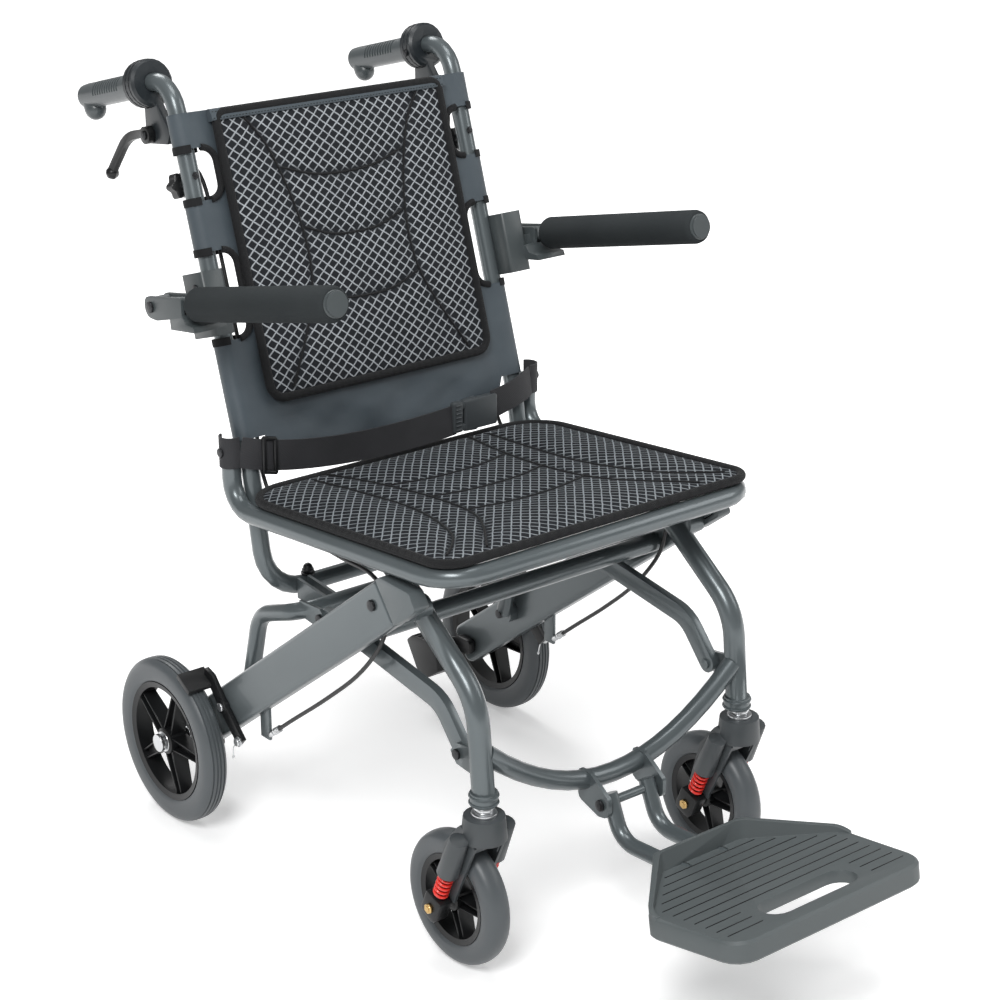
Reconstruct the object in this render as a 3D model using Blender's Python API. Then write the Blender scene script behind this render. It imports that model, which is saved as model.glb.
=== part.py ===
"""Transport wheelchair: a folding tubular frame with small rear wheels, sprung casters, hand brakes and footrest.

Chair frame: +X is the user's left, -Y is forward, +Z is up. The root empty sits on the floor under the
rear axle, and it is shifted so that the world origin is the middle of the chair's footprint.
Lengths in the outlines are millimetres; the solids are metres.
"""
from math import cos, pi, radians, sin, tan

import bmesh
import bpy
from mathutils import Matrix, Vector

MM = 0.001
GAP = 0.3
SIDES = (("right", -1), ("left", 1))

# Driving dimensions, millimetres from the rear axle and the floor
REAR_AXLE_WORLD_Y = 317
REAR_WHEEL_R = 101.5
REAR_WHEEL_X = 248
REAR_WHEEL_WIDTH = 30
CASTER_R = 76
CASTER_WIDTH = 31
CASTER_X = 186
CASTER_STEM_Y = -517
CASTER_TRAIL = 43
CASTER_RAKE = radians(23)
SEAT_RAIL_X = 215.5
SEAT_TUBE_R = 11
SEAT_TILT = radians(5)
SEAT_RAIL_REAR_Z = 419
SEAT_FRONT_Y = -497
SEAT_REAR_Y = -103
HINGE_Y = -107
HINGE_Z = 468
CANE_X = 193.5
CANE_R = 10.5
BACK_RECLINE = radians(17.4)
CANE_FOOT_LEAN = radians(10)
CANE_TOP_Z = 883.3
CANE_BEND = 38
BACK_BAR_Z = 318.2
HANDLE_SLOPE = radians(14.4)
HANDLE_LENGTH = 192
BRAKE_CLAMP_LENGTH = 25
FRONT_LEG_X = 184
FRONT_LEG_R = 12.5
FRONT_LEG_TOP = (-358, 426)
FRONT_LEG_KNEE = (-503, 318)
FRONT_LEG_FOOT = (-514, 206)
CROSS_BAR_Y = -510
CROSS_BAR_R = 11
CROSS_BAR_MID_Z = 179
CROSS_BAR_END_Z = 257
LEG_PIVOT = (-418, 396)
REAR_LEG_SLOPE = radians(37)
REAR_LEG_INNER_X = 205.3
REAR_LEG_THICK = 20
REAR_LEG_WIDTH = 52
REAR_LEG_SEAM_BELOW_PIVOT = 9
REAR_LEG_CAP_LENGTH = 47
LOOP_R = 10
LOOP_X = 193
LOOP_FOOT = (-86, 174)
LOOP_KNEE = (-116, 288)
LOOP_BAR = (-200, 318)
BRACE_INNER_X = 173
BRACE_THICK = 10
BRACE_FRONT = (-474, 246)
BRACE_REAR = (-228, 316.6)
REAR_TUBE = (-350, 349)
BRAKE_PIVOT_OUT = 8.45
BRAKE_PIVOT_ANGLE = radians(38.54)
BRAKE_SHOE_GAP = 1.9
ARM_X = 250
ARM_PIVOT = (-28, 646)
ARM_SLOPE = radians(12.6)
ARM_FRONT_Y = -362
FOAM_REAR_Y = -104
FOAM_R = 19.3
ARM_TUBE_R = 9
ARM_BLOCK_BELOW = 36
ARM_BLOCK_ABOVE = 33
ARM_WINDOW_BELOW = 44
ARM_WINDOW_ABOVE = 52
FOOT_PIVOT = (-538, 163)
FOOT_TUBE_X = 27
FOOT_TUBE_R = 9
PLATE_WIDE = (143, -723)
PLATE_TOP_Z = 148
PLATE_TILT = radians(9.3)
PLATE_FRONT_Y = -846
PLATE_HEEL_Y = -645
PLATE_THICK = 24

BRAKE_PIVOT = (-(REAR_WHEEL_R + BRAKE_PIVOT_OUT) * cos(BRAKE_PIVOT_ANGLE),
               REAR_WHEEL_R + (REAR_WHEEL_R + BRAKE_PIVOT_OUT) * sin(BRAKE_PIVOT_ANGLE))
LEG_PIVOT_REACH = (LEG_PIVOT[1] - REAR_WHEEL_R) * sin(REAR_LEG_SLOPE) - LEG_PIVOT[0] * cos(REAR_LEG_SLOPE)
REAR_LEG_SEAM = LEG_PIVOT_REACH - REAR_LEG_SEAM_BELOW_PIVOT
REAR_LEG_END = REAR_LEG_SEAM + REAR_LEG_CAP_LENGTH
SLEEVE_TOP_Z = CANE_TOP_Z - CANE_BEND
ARM_WINDOW = (ARM_PIVOT[1] - ARM_WINDOW_BELOW, ARM_PIVOT[1] + ARM_WINDOW_ABOVE)


def clear_scene():
    for item in list(bpy.data.objects):
        bpy.data.objects.remove(item, do_unlink=True)


def paint(name, colour, roughness, metallic=0.0):
    made = bpy.data.materials.new(name)
    made.use_nodes = True
    shader = made.node_tree.nodes["Principled BSDF"]
    shader.inputs["Base Color"].default_value = (*colour, 1)
    shader.inputs["Roughness"].default_value = roughness
    shader.inputs["Metallic"].default_value = metallic
    return made


def empty(name, at, parent=None):
    """An empty on a joint's axis; at is in chair millimetres."""
    made = bpy.data.objects.new(name, None)
    bpy.context.scene.collection.objects.link(made)
    made["at"] = at
    made.parent = parent
    origin = parent["at"] if parent else (0, 0, 0)
    made.location = [(a - b) * MM for a, b in zip(at, origin)]
    return made


def as_object(bm, name="piece"):
    bmesh.ops.remove_doubles(bm, verts=bm.verts, dist=1e-6)
    bmesh.ops.recalc_face_normals(bm, faces=bm.faces)
    mesh = bpy.data.meshes.new(name)
    bm.to_mesh(mesh)
    bm.free()
    made = bpy.data.objects.new(name, mesh)
    bpy.context.scene.collection.objects.link(made)
    return made


def evaluated(item):
    bpy.context.view_layer.update()
    graph = bpy.context.evaluated_depsgraph_get()
    return bpy.data.meshes.new_from_object(item.evaluated_get(graph))


def combine(base, others, operation):
    for other in others:
        cut = base.modifiers.new("combine", "BOOLEAN")
        cut.operation = operation
        cut.solver = "EXACT"
        cut.object = other
        mesh = evaluated(base)
        base.modifiers.clear()
        base.data = mesh
        bpy.data.objects.remove(other, do_unlink=True)
    return base


def fuse(base, *others):
    return combine(base, others, "UNION")


def cut_away(base, *others):
    return combine(base, others, "DIFFERENCE")


def rounded_edges(item, width, segments=2):
    bevel = item.modifiers.new("edges", "BEVEL")
    bevel.width = width * MM
    bevel.segments = segments
    bevel.limit_method = "ANGLE"
    bevel.angle_limit = radians(50)
    mesh = evaluated(item)
    item.modifiers.clear()
    item.data = mesh
    return item


def node(item, name, look, axis):
    """Names a finished piece, gives it its material and hangs it on its joint's empty."""
    item.name = name
    item.data.name = name
    item.data.materials.clear()
    item.data.materials.append(look)
    item.data.shade_smooth()
    item.data.set_sharp_from_angle(angle=radians(38))
    item.data.transform(Matrix.Translation([-a * MM for a in axis["at"]]))
    item.parent = axis
    return item


def fillet(points, radii, steps=5):
    """A polyline whose inner corners are arcs; radii has one value for each inner point."""
    path = [Vector(points[0])]
    for before, corner, after, radius in zip(points, points[1:], points[2:], radii):
        corner = Vector(corner)
        back = (Vector(before) - corner).normalized()
        ahead = (Vector(after) - corner).normalized()
        half = back.angle(ahead) / 2
        reach = radius / tan(half)
        centre = corner + (back + ahead).normalized() * (radius / sin(half))
        start = corner + back * reach - centre
        end = corner + ahead * reach - centre
        sweep = start.angle(end)
        for step in range(steps + 1):
            t = step / steps
            path.append(centre + (start * sin((1 - t) * sweep) + end * sin(t * sweep)) / sin(sweep))
    path.append(Vector(points[-1]))
    return path


def tube(points, radius, sides=12):
    curve = bpy.data.curves.new("path", "CURVE")
    curve.dimensions = "3D"
    curve.bevel_depth = radius * MM
    curve.bevel_resolution = (sides - 4) // 2
    curve.use_fill_caps = True
    spline = curve.splines.new("POLY")
    spline.points.add(len(points) - 1)
    for place, point in zip(spline.points, points):
        place.co = (*[c * MM for c in point], 1)
    guide = bpy.data.objects.new("path", curve)
    bpy.context.scene.collection.objects.link(guide)
    bm = bmesh.new()
    bm.from_mesh(evaluated(guide))
    bpy.data.objects.remove(guide, do_unlink=True)
    return as_object(bm)


def rod(start, end, radius, sides=16, end_radius=None):
    """A round bar between two points, tapered if end_radius is given."""
    start, end = Vector(start) * MM, Vector(end) * MM
    along = end - start
    bm = bmesh.new()
    turn = along.to_track_quat("Z", "Y").to_matrix().to_4x4()
    place = Matrix.Translation((start + end) / 2) @ turn
    last = radius if end_radius is None else end_radius
    bmesh.ops.create_cone(bm, cap_ends=True, segments=sides, radius1=radius * MM, radius2=last * MM,
                          depth=along.length, matrix=place)
    return as_object(bm)


def across(side, x0, x1, at, radius, sides=16):
    """A round bar along X on one side of the chair; at is (y, z)."""
    return rod((side * x0, *at), (side * x1, *at), radius, sides)


def slab(outline, low, high, place):
    """A prism: the outline's points and the two heights go through place(a, b, height)."""
    bm = bmesh.new()
    rings = [[bm.verts.new(Vector(place(a, b, h)) * MM) for a, b in outline] for h in (low, high)]
    bm.faces.new(rings[0])
    bm.faces.new(rings[1])
    for i in range(len(outline)):
        j = (i + 1) % len(outline)
        bm.faces.new((rings[0][i], rings[0][j], rings[1][j], rings[1][i]))
    return as_object(bm)


def side_plate(outline, side, x0, x1):
    """A plate in the chair's side plane, from x0 to x1; the outline is (y, z)."""
    return slab(outline, x0, x1, lambda y, z, x: (side * x, y, z))


def round_outline(points, radii, steps=4):
    """A closed outline with an arc at each corner."""
    loop = [(*p, 0) for p in points]
    closed = [loop[-1]] + loop + [loop[0]]
    path = fillet(closed, radii, steps)[1:-1]
    return [(p.x, p.y) for p in path]


def strip(points, half_width):
    """The outline of a flat bar of even width along a path."""
    path = [Vector((*p, 0)) for p in points]
    left, right = [], []
    for i, point in enumerate(path):
        ahead = (path[min(i + 1, len(path) - 1)] - path[max(i - 1, 0)]).normalized()
        normal = Vector((-ahead.y, ahead.x, 0)) * half_width
        left.append(point + normal)
        right.append(point - normal)
    return [(p.x, p.y) for p in left + right[::-1]]


def ring(profile, centre, steps):
    """A closed profile of (radius, x) turned about the X axis through centre."""
    bm = bmesh.new()
    y, z = centre[1], centre[2]
    loop = [bm.verts.new(Vector((centre[0] + x, y, z + r)) * MM) for r, x in profile]
    edges = [bm.edges.new((loop[i], loop[(i + 1) % len(loop)])) for i in range(len(loop))]
    bmesh.ops.spin(bm, geom=loop + edges, cent=Vector(centre) * MM, axis=(1, 0, 0),
                   angle=2 * pi, steps=steps, use_merge=True)
    return as_object(bm)


def rail_z(y):
    return SEAT_RAIL_REAR_Z + tan(SEAT_TILT) * (SEAT_REAR_Y - y)


def cane(z):
    """Y of the back cane's centre line at a height; the cane bends a little at its hinge."""
    return HINGE_Y + tan(BACK_RECLINE if z > HINGE_Z else CANE_FOOT_LEAN) * (z - HINGE_Z)


def up_cane(z):
    """The distance from the hinge up the cane to a height."""
    return (z - HINGE_Z) / cos(BACK_RECLINE)


def above_arm_window(share):
    """A height between the armrest's window in the sleeve and the sleeve's top."""
    return ARM_WINDOW[1] + share * (SLEEVE_TOP_Z - ARM_WINDOW[1])


def on_back(x, along, front):
    """A point by its distance up the cane from the hinge and its distance in front of the cane."""
    up = (sin(BACK_RECLINE), cos(BACK_RECLINE))
    ahead = (-cos(BACK_RECLINE), sin(BACK_RECLINE))
    return (x, HINGE_Y + along * up[0] + front * ahead[0], HINGE_Z + along * up[1] + front * ahead[1])


def on_leg(along, normal):
    """(y, z) by the distance up the rear leg from the axle and across it."""
    ahead = (-cos(REAR_LEG_SLOPE), sin(REAR_LEG_SLOPE))
    across_leg = (sin(REAR_LEG_SLOPE), cos(REAR_LEG_SLOPE))
    return (along * ahead[0] + normal * across_leg[0],
            REAR_WHEEL_R + along * ahead[1] + normal * across_leg[1])


def on_handle(along, below=0):
    """(y, z) by the distance back along the handle from the cane's top corner and below it."""
    return (cane(CANE_TOP_Z) + along * cos(HANDLE_SLOPE) - below * sin(HANDLE_SLOPE),
            CANE_TOP_Z - along * sin(HANDLE_SLOPE) - below * cos(HANDLE_SLOPE))


def arm_z(y):
    return ARM_PIVOT[1] + tan(ARM_SLOPE) * (ARM_PIVOT[0] - y)


def on_plate(x, y, above):
    """A point by its plan place on the footplate and its height above the plate's top face."""
    out = y - PLATE_WIDE[1]
    return (x, PLATE_WIDE[1] + out * cos(PLATE_TILT) + above * sin(PLATE_TILT),
            PLATE_TOP_Z - out * sin(PLATE_TILT) + above * cos(PLATE_TILT))


clear_scene()

frame_paint = paint("frame_paint", (0.10, 0.115, 0.12), 0.35, 0.4)
black_plastic = paint("black_plastic", (0.02, 0.02, 0.022), 0.5)
grey_plastic = paint("grey_plastic", (0.075, 0.08, 0.083), 0.5)
tyre_rubber = paint("tyre_rubber", (0.12, 0.125, 0.13), 0.6)
foam_black = paint("foam_black", (0.03, 0.03, 0.032), 0.9)
zinc = paint("zinc", (0.62, 0.63, 0.64), 0.3, 1.0)
spring_red = paint("spring_red", (0.7, 0.03, 0.02), 0.35)
nylon = paint("nylon", (0.06, 0.07, 0.08), 0.8)
net_fabric = paint("net_fabric", (0.05, 0.052, 0.056), 0.85)
webbing = paint("webbing", (0.03, 0.03, 0.032), 0.8)

root = empty("chair", (0, 0, 0))
root.location = (0, REAR_AXLE_WORLD_Y * MM, 0)
back_axis = empty("back_hinge_axis", (0, HINGE_Y, HINGE_Z), root)
leg_axis = empty("rear_leg_axis", (0, *LEG_PIVOT), root)
loop_axis = empty("loop_axis", (0, *LOOP_FOOT), leg_axis)
brace_axis = empty("brace_axis", (0, *BRACE_FRONT), root)
foot_axis = empty("footrest_axis", (0, *FOOT_PIVOT), root)


def seat():
    half, rear, hook_top = SEAT_RAIL_X, SEAT_REAR_Y, HINGE_Z + 24
    front_z = rail_z(SEAT_FRONT_Y)
    hook_bend, corner_bend = 34, 46
    path = fillet([(-half, rear, hook_top), (-half, rear, rail_z(rear)), (-half, SEAT_FRONT_Y, front_z),
                   (half, SEAT_FRONT_Y, front_z), (half, rear, rail_z(rear)), (half, rear, hook_top)],
                  [hook_bend, corner_bend, corner_bend, hook_bend])
    node(tube(path, SEAT_TUBE_R), "seat_frame", frame_paint, root)
    pad_half, pad_rear, pad_thick, corner = half + 6, SEAT_REAR_Y - 30, 15, 34
    outline = round_outline([(-pad_half, pad_rear), (-pad_half, SEAT_FRONT_Y - 4),
                             (pad_half, SEAT_FRONT_Y - 4), (pad_half, pad_rear)], [corner] * 4)
    bottom = SEAT_TUBE_R / cos(SEAT_TILT) + GAP
    pad = slab(outline, bottom, bottom + pad_thick, lambda x, y, h: (x, y, rail_z(y) + h))
    node(rounded_edges(pad, 4, 1), "seat_cushion", net_fabric, root)


def leg_tube(side, radius):
    x = side * FRONT_LEG_X
    path = fillet([(x, *FRONT_LEG_FOOT), (x, *FRONT_LEG_KNEE), (x, *FRONT_LEG_TOP)], [70], 7)
    return tube(path, radius)


def front_leg(word, side):
    x = side * FRONT_LEG_X
    leg = leg_tube(side, FRONT_LEG_R)
    foot_y, foot_z = FRONT_LEG_FOOT
    collar = rod((x, foot_y, foot_z - 3), (x, foot_y, foot_z + 11), FRONT_LEG_R + 2.6)
    boss = across(side, FRONT_LEG_X, REAR_LEG_INNER_X - GAP, LEG_PIVOT, 13)
    top_y, top_z = FRONT_LEG_TOP
    rail_side = SEAT_RAIL_X - SEAT_TUBE_R - GAP
    lug = side_plate([(top_y - 26, top_z - 2), (top_y + 6, top_z - 2), (top_y + 6, rail_z(top_y) + 6),
                      (top_y - 26, rail_z(top_y - 26) + 6)], side, FRONT_LEG_X - 6, rail_side)
    y, z = BRACE_FRONT
    tab_x = BRACE_INNER_X + BRACE_THICK + GAP
    tab = side_plate([(y - 28, z - 15), (y + 2, z - 12), (y + 12, z), (y + 2, z + 12), (y - 28, z + 16)],
                     side, tab_x, tab_x + 4)
    node(fuse(leg, collar, boss, lug, tab), "front_leg_" + word, frame_paint, root)


def lower_cross_bar():
    half = FRONT_LEG_X - 6
    rise = CROSS_BAR_END_Z - CROSS_BAR_MID_Z
    xs = [half * (i / 8 - 1) for i in range(17)]
    bar = tube([(x, CROSS_BAR_Y, CROSS_BAR_MID_Z + rise * (x / half) ** 2) for x in xs], CROSS_BAR_R)
    for side in (-1, 1):
        bar = cut_away(bar, leg_tube(side, FRONT_LEG_R + GAP))
    y, z = FOOT_PIVOT
    ear_x = FOOT_TUBE_X + FOOT_TUBE_R + 1
    ears = []
    for side in (-1, 1):
        ear = round_outline([(CROSS_BAR_Y + 9, CROSS_BAR_MID_Z + 15), (CROSS_BAR_Y + 9, CROSS_BAR_MID_Z - 20),
                             (y + 4, z - 15), (y - 13, z - 12), (y - 13, z + 10),
                             (CROSS_BAR_Y - 10, CROSS_BAR_MID_Z + 15)], [3, 8, 8, 8, 6, 3], 2)
        ears.append(side_plate(ear, side, ear_x, ear_x + 5))
    node(fuse(bar, *ears), "lower_cross_bar", frame_paint, root)


def rear_leg(word, side):
    half, inner = REAR_LEG_WIDTH / 2, REAR_LEG_INNER_X
    outer, tongue = inner + REAR_LEG_THICK, inner + 7
    foot = -24
    main = round_outline([on_leg(foot, -half), on_leg(foot, half), on_leg(REAR_LEG_SEAM, half),
                          on_leg(REAR_LEG_SEAM, -half)], [11, 11, 0.5, 0.5], 3)
    leg = rounded_edges(side_plate(main, side, inner, outer), 4, 2)
    tip = [on_leg(REAR_LEG_SEAM - 6, half - 6), on_leg(REAR_LEG_SEAM + 12, half - 6),
           on_leg(REAR_LEG_END - 10, -4), on_leg(REAR_LEG_END - 10, 6 - half),
           on_leg(REAR_LEG_SEAM - 6, 6 - half)]
    neck = side_plate(tip, side, inner + 0.4, tongue)
    bolt = across(side, outer - 4, outer + 3.2, on_leg(REAR_LEG_SEAM - 22, 5), 6, 10)
    hanger_y = -152
    hanger = side_plate([(hanger_y - 9, 205), (hanger_y + 9, 200), (hanger_y + 9, 150), (hanger_y - 9, 150)],
                        side, 212, 216)
    lines = []
    for along in (170, REAR_LEG_SEAM - 62):
        line = [on_leg(along, -half - 4), on_leg(along, half + 4), on_leg(along + 0.8, half + 4),
                on_leg(along + 0.8, -half - 4)]
        lines.append(side_plate(line, side, outer - 0.3, outer + 4))
    leg = cut_away(fuse(leg, neck, bolt, hanger), *lines)
    node(leg, "rear_leg_" + word, frame_paint, leg_axis)
    shell = round_outline([on_leg(REAR_LEG_SEAM + GAP, half), on_leg(REAR_LEG_SEAM + 9, half),
                           on_leg(REAR_LEG_END, -5), on_leg(REAR_LEG_END, -half),
                           on_leg(REAR_LEG_SEAM + GAP, -half)], [0.5, 5, 6, 4, 0.5], 2)
    cap = side_plate(shell, side, inner + 0.2, outer - 0.2)
    pocket = [on_leg(REAR_LEG_SEAM - 9, half - 5.5), on_leg(REAR_LEG_SEAM + 12.2, half - 5.5),
              on_leg(REAR_LEG_END - 9.6, -3.6), on_leg(REAR_LEG_END - 9.6, 5.6 - half),
              on_leg(REAR_LEG_SEAM - 9, 5.6 - half)]
    cap = cut_away(cap, side_plate(pocket, side, inner - 4, tongue + 0.4))
    node(cap, "rear_leg_cap_" + word, grey_plastic, leg_axis)


def rear_axle(word, side):
    start = REAR_LEG_INNER_X + REAR_LEG_THICK + GAP
    hub_face = REAR_WHEEL_X + 17
    shank = across(side, start, hub_face + 4, (0, REAR_WHEEL_R), 6)
    head = across(side, hub_face + 0.4, hub_face + 5, (0, REAR_WHEEL_R), 11, 20)
    washer = across(side, start, REAR_WHEEL_X - 17.4, (0, REAR_WHEEL_R), 10, 20)
    node(fuse(shank, head, washer), "rear_axle_" + word, zinc, leg_axis)


def rear_tube():
    half = REAR_LEG_INNER_X - GAP
    node(rod((-half, *REAR_TUBE), (half, *REAR_TUBE), 11, 12), "rear_cross_tube", frame_paint, leg_axis)


def tip_pedal(word, side):
    hang = REAR_LEG_INNER_X - GAP
    bar = side_plate(strip([(-6, 98), (24, 92), (52, 74)], 11), side, hang - 7, hang)
    block = round_outline([(30, 92), (74, 68), (66, 50), (22, 74)], [5] * 4, 2)
    tread = side_plate(block, side, hang - 40, hang - 4)
    node(fuse(tread, bar), "tip_pedal_" + word, black_plastic, leg_axis)


def rear_loop():
    x, bend = LOOP_X, [40, 28]
    path = fillet([(-x, *LOOP_FOOT), (-x, *LOOP_KNEE), (-x, *LOOP_BAR), (x, *LOOP_BAR), (x, *LOOP_KNEE),
                   (x, *LOOP_FOOT)], bend + bend[::-1])
    loop = tube(path, LOOP_R)
    bar_y, bar_z = LOOP_BAR
    saddle_end = cane(BACK_BAR_Z) - CANE_R - 0.8
    pieces = []
    for side in (-1, 1):
        pieces.append(across(side, LOOP_X, REAR_LEG_INNER_X - GAP, LOOP_FOOT, 14))
        for saddle_x in (142, 156):
            saddle = [(bar_y - 6, bar_z - 11), (bar_y - 6, bar_z + 8), (saddle_end, bar_z + 14),
                      (saddle_end, bar_z - 10)]
            pieces.append(side_plate(saddle, side, saddle_x, saddle_x + 4))
        y, z = BRACE_REAR
        tab_x = BRACE_INNER_X + BRACE_THICK + GAP
        tab = [(y + 40, z - 8), (y + 40, z + 10), (y, z + 12), (y - 12, z), (y, z - 12)]
        pieces.append(side_plate(tab, side, tab_x, tab_x + 4))
    node(fuse(loop, *pieces), "rear_loop", frame_paint, loop_axis)


def brace(word, side):
    front, rear = BRACE_FRONT, BRACE_REAR
    path = fillet([(*front, 0), (front[0] + 38, front[1] + 44, 0), (front[0] + 174, front[1] + 66, 0),
                   (*rear, 0)], [45, 120], 4)
    outer = BRACE_INNER_X + BRACE_THICK
    bar = side_plate(strip([(p.x, p.y) for p in path], 11), side, BRACE_INNER_X, outer)
    ends = [across(side, BRACE_INNER_X, outer, at, 11) for at in (front, rear)]
    heads = [across(side, BRACE_INNER_X - 3.5, BRACE_INNER_X + 2, at, 6, 10) for at in (front, rear)]
    node(fuse(bar, *ends, *heads), "brace_" + word, frame_paint, brace_axis)


def tyre_profile(radius, inner, width, groove):
    """A tyre's section: flat sides, a round shoulder and two shallow grooves in the tread."""
    half = width / 2
    right = [(inner, half - 3), (inner + 5, half - 1), (radius - 12, half), (radius - 4, half - 3.5),
             (radius - 0.8, half * 0.52)]
    if groove:
        right += [(radius - 2.0, half * 0.42), (radius - 0.2, half * 0.3)]
    return [(r, -x) for r, x in right] + [(radius, 0)] + [(r, x) for r, x in right[::-1]]


def spoked_hub(centre, radius, width, bore, barrel, steps):
    """A moulded wheel centre: rim, barrel with its bore and five ribbed spokes."""
    rim_thick, half = 6, width / 2
    rim = ring([(radius - rim_thick, -half), (radius - rim_thick, half), (radius, half), (radius - 1.5, 0),
                (radius, -half)], centre, steps)
    x, y, z = centre
    core = rod((x - half - 1, y, z), (x + half + 1, y, z), barrel, 20)
    spokes = []
    for i in range(5):
        a = 2 * pi * i / 5 + pi / 2
        out, wide = Vector((0, cos(a), sin(a))), Vector((0, -sin(a), cos(a)))
        root_half, tip_half = barrel * 0.5, barrel * 0.34
        bm = bmesh.new()
        hub_at, rim_at = barrel * 0.6, radius - rim_thick * 0.6
        ends = []
        for distance, half_wide, half_x in ((hub_at, root_half, half * 0.8), (rim_at, tip_half, half * 0.55)):
            middle = Vector(centre) + out * distance
            corners = [(-half_x, -half_wide), (half_x, -half_wide), (half_x, half_wide), (-half_x, half_wide)]
            ends.append([bm.verts.new((middle + Vector((dx, 0, 0)) + wide * dw) * MM) for dx, dw in corners])
        bm.faces.new(ends[0])
        bm.faces.new(ends[1])
        for k in range(4):
            m = (k + 1) % 4
            bm.faces.new((ends[0][k], ends[0][m], ends[1][m], ends[1][k]))
        spokes.append(as_object(bm))
    hub = fuse(core, *spokes, rim)
    return cut_away(hub, rod((x - width, y, z), (x + width, y, z), bore, 16))


def rear_wheel(word, side):
    centre = (side * REAR_WHEEL_X, 0, REAR_WHEEL_R)
    axis = empty("rear_wheel_axis_" + word, centre, leg_axis)
    inner = 74
    tyre = ring(tyre_profile(REAR_WHEEL_R, inner, REAR_WHEEL_WIDTH, True), centre, 32)
    node(tyre, "rear_tyre_" + word, tyre_rubber, axis)
    hub = spoked_hub(centre, inner - GAP, REAR_WHEEL_WIDTH - 4, 6.3, 15, 32)
    node(hub, "rear_hub_" + word, black_plastic, axis)


def brake_arm(word, side):
    axis = empty("brake_arm_axis_" + word, (side * 228, *BRAKE_PIVOT), leg_axis)
    inner = REAR_LEG_INNER_X + REAR_LEG_THICK + 0.6
    lean = radians(28.4)

    def by_tyre(out, along):
        out += REAR_WHEEL_R + BRAKE_SHOE_GAP
        return (along * cos(lean) - out * sin(lean), REAR_WHEEL_R + out * cos(lean) + along * sin(lean))

    pull_end = (BRAKE_PIVOT[0] - 36, BRAKE_PIVOT[1] - 34)
    bar = strip([pull_end, BRAKE_PIVOT, by_tyre(10, -9), by_tyre(7, 3)], 7.5)
    arm = side_plate(bar, side, inner, inner + 5.5)
    shoe = [by_tyre(0, -15), by_tyre(6, -15), by_tyre(6, 13), by_tyre(0, 13)]
    pad = side_plate(shoe, side, inner, REAR_WHEEL_X + 14)
    boss = across(side, inner, inner + 6.4, BRAKE_PIVOT, 9)
    node(fuse(arm, pad, boss), "brake_arm_" + word, black_plastic, axis)


def caster(word, side):
    stem = (side * CASTER_X, CASTER_STEM_Y, 200)
    swivel = empty("caster_swivel_axis_" + word, stem, root)
    axle_y, axle_z = CASTER_STEM_Y + CASTER_TRAIL, CASTER_R
    centre = (side * CASTER_X, axle_y, axle_z)
    slide = empty("caster_slide_axis_" + word, centre, swivel)
    shock_offset, block_half, plate_in = 31.5, 8.5, 18.5
    spring_low, spring_high, sleeve_top = 16, 53, 104
    rise = (-sin(CASTER_RAKE), cos(CASTER_RAKE))

    def up(distance, offset=0, back=0):
        return (side * CASTER_X + offset, axle_y + distance * rise[0] + back * rise[1],
                axle_z + distance * rise[1] - back * rise[0])

    crown_low, crown_top = 165, 192
    crown = rod((stem[0], stem[1], crown_low), (stem[0], stem[1], crown_top), 25, 20, 22.5)
    nut = rod((stem[0], stem[1], crown_top - 2), (stem[0], stem[1], FRONT_LEG_FOOT[1] - 3 - GAP), 10, 6)
    pieces = [nut]
    bores = []
    for lateral in (-1, 1):
        offset = lateral * shock_offset
        pieces.append(rod(up(spring_high, offset), up(sleeve_top, offset), 12.5, 14, 10.5))
        x0, x1 = stem[0] + lateral * plate_in, stem[0] + lateral * (plate_in + 3.6)
        cheek = [up(100, 0, -16)[1:], up(104, 0, 16)[1:], up(70, 0, 26)[1:], up(16, 0, 19)[1:], up(14, 0, -14)[1:],
                 up(60, 0, -15)[1:]]
        pieces.append(slab(cheek, x0, x1, lambda y, z, x: (x, y, z)))
        bridge = [up(78, 0, -14)[1:], up(106, 0, -14)[1:], up(108, 0, 14)[1:], up(96, 0, 18)[1:]]
        pieces.append(slab(bridge, stem[0], x1, lambda y, z, x: (x, y, z)))
        bores.append(rod(up(spring_high - 9, offset), up(spring_high + 36, offset), 5.5, 12))
    fork = cut_away(fuse(crown, *pieces), *bores)
    clearance = ring([(0.5, -16.4), (CASTER_R + 12, -16.4), (CASTER_R + 12, 16.4), (0.5, 16.4)], up(4), 28)
    fork = cut_away(fork, clearance)
    node(fork, "caster_fork_" + word, grey_plastic, swivel)

    reach = shock_offset + block_half
    axle = rod((centre[0] - reach, axle_y, axle_z), (centre[0] + reach, axle_y, axle_z), 4, 12)
    parts = []
    for lateral in (-1, 1):
        offset = lateral * shock_offset
        block = round_outline([up(-14, 0, -13)[1:], up(spring_low, 0, -13)[1:], up(spring_low, 0, 13)[1:],
                               up(-14, 0, 13)[1:]], [6, 2, 2, 6], 2)
        x0 = centre[0] + offset - block_half
        parts.append(slab(block, x0, x0 + 2 * block_half, lambda y, z, x: (x, y, z)))
        parts.append(rod(up(spring_low - 6, offset), up(spring_high + 20, offset), 4.8, 12))
        coil_r, wire = 7.2, 1.6
        low, high = spring_low + wire + GAP, spring_high - wire - GAP
        points = []
        for i in range(45):
            a = 2 * pi * i / 8
            points.append(up(low + (high - low) * i / 44, offset + coil_r * sin(a), coil_r * cos(a)))
        place = "outer" if lateral == side else "inner"
        node(tube(points, wire, 6), f"caster_spring_{place}_{word}", spring_red, slide)
    node(fuse(axle, *parts), "caster_axle_" + word, black_plastic, slide)

    spin = empty("caster_wheel_axis_" + word, centre, slide)
    inner = 52
    tyre = ring(tyre_profile(CASTER_R, inner, CASTER_WIDTH, False), centre, 30)
    node(tyre, "caster_tyre_" + word, tyre_rubber, spin)
    hub = spoked_hub(centre, inner - GAP, CASTER_WIDTH - 5, 4.4, 12, 30)
    node(hub, "caster_hub_" + word, black_plastic, spin)


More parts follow.
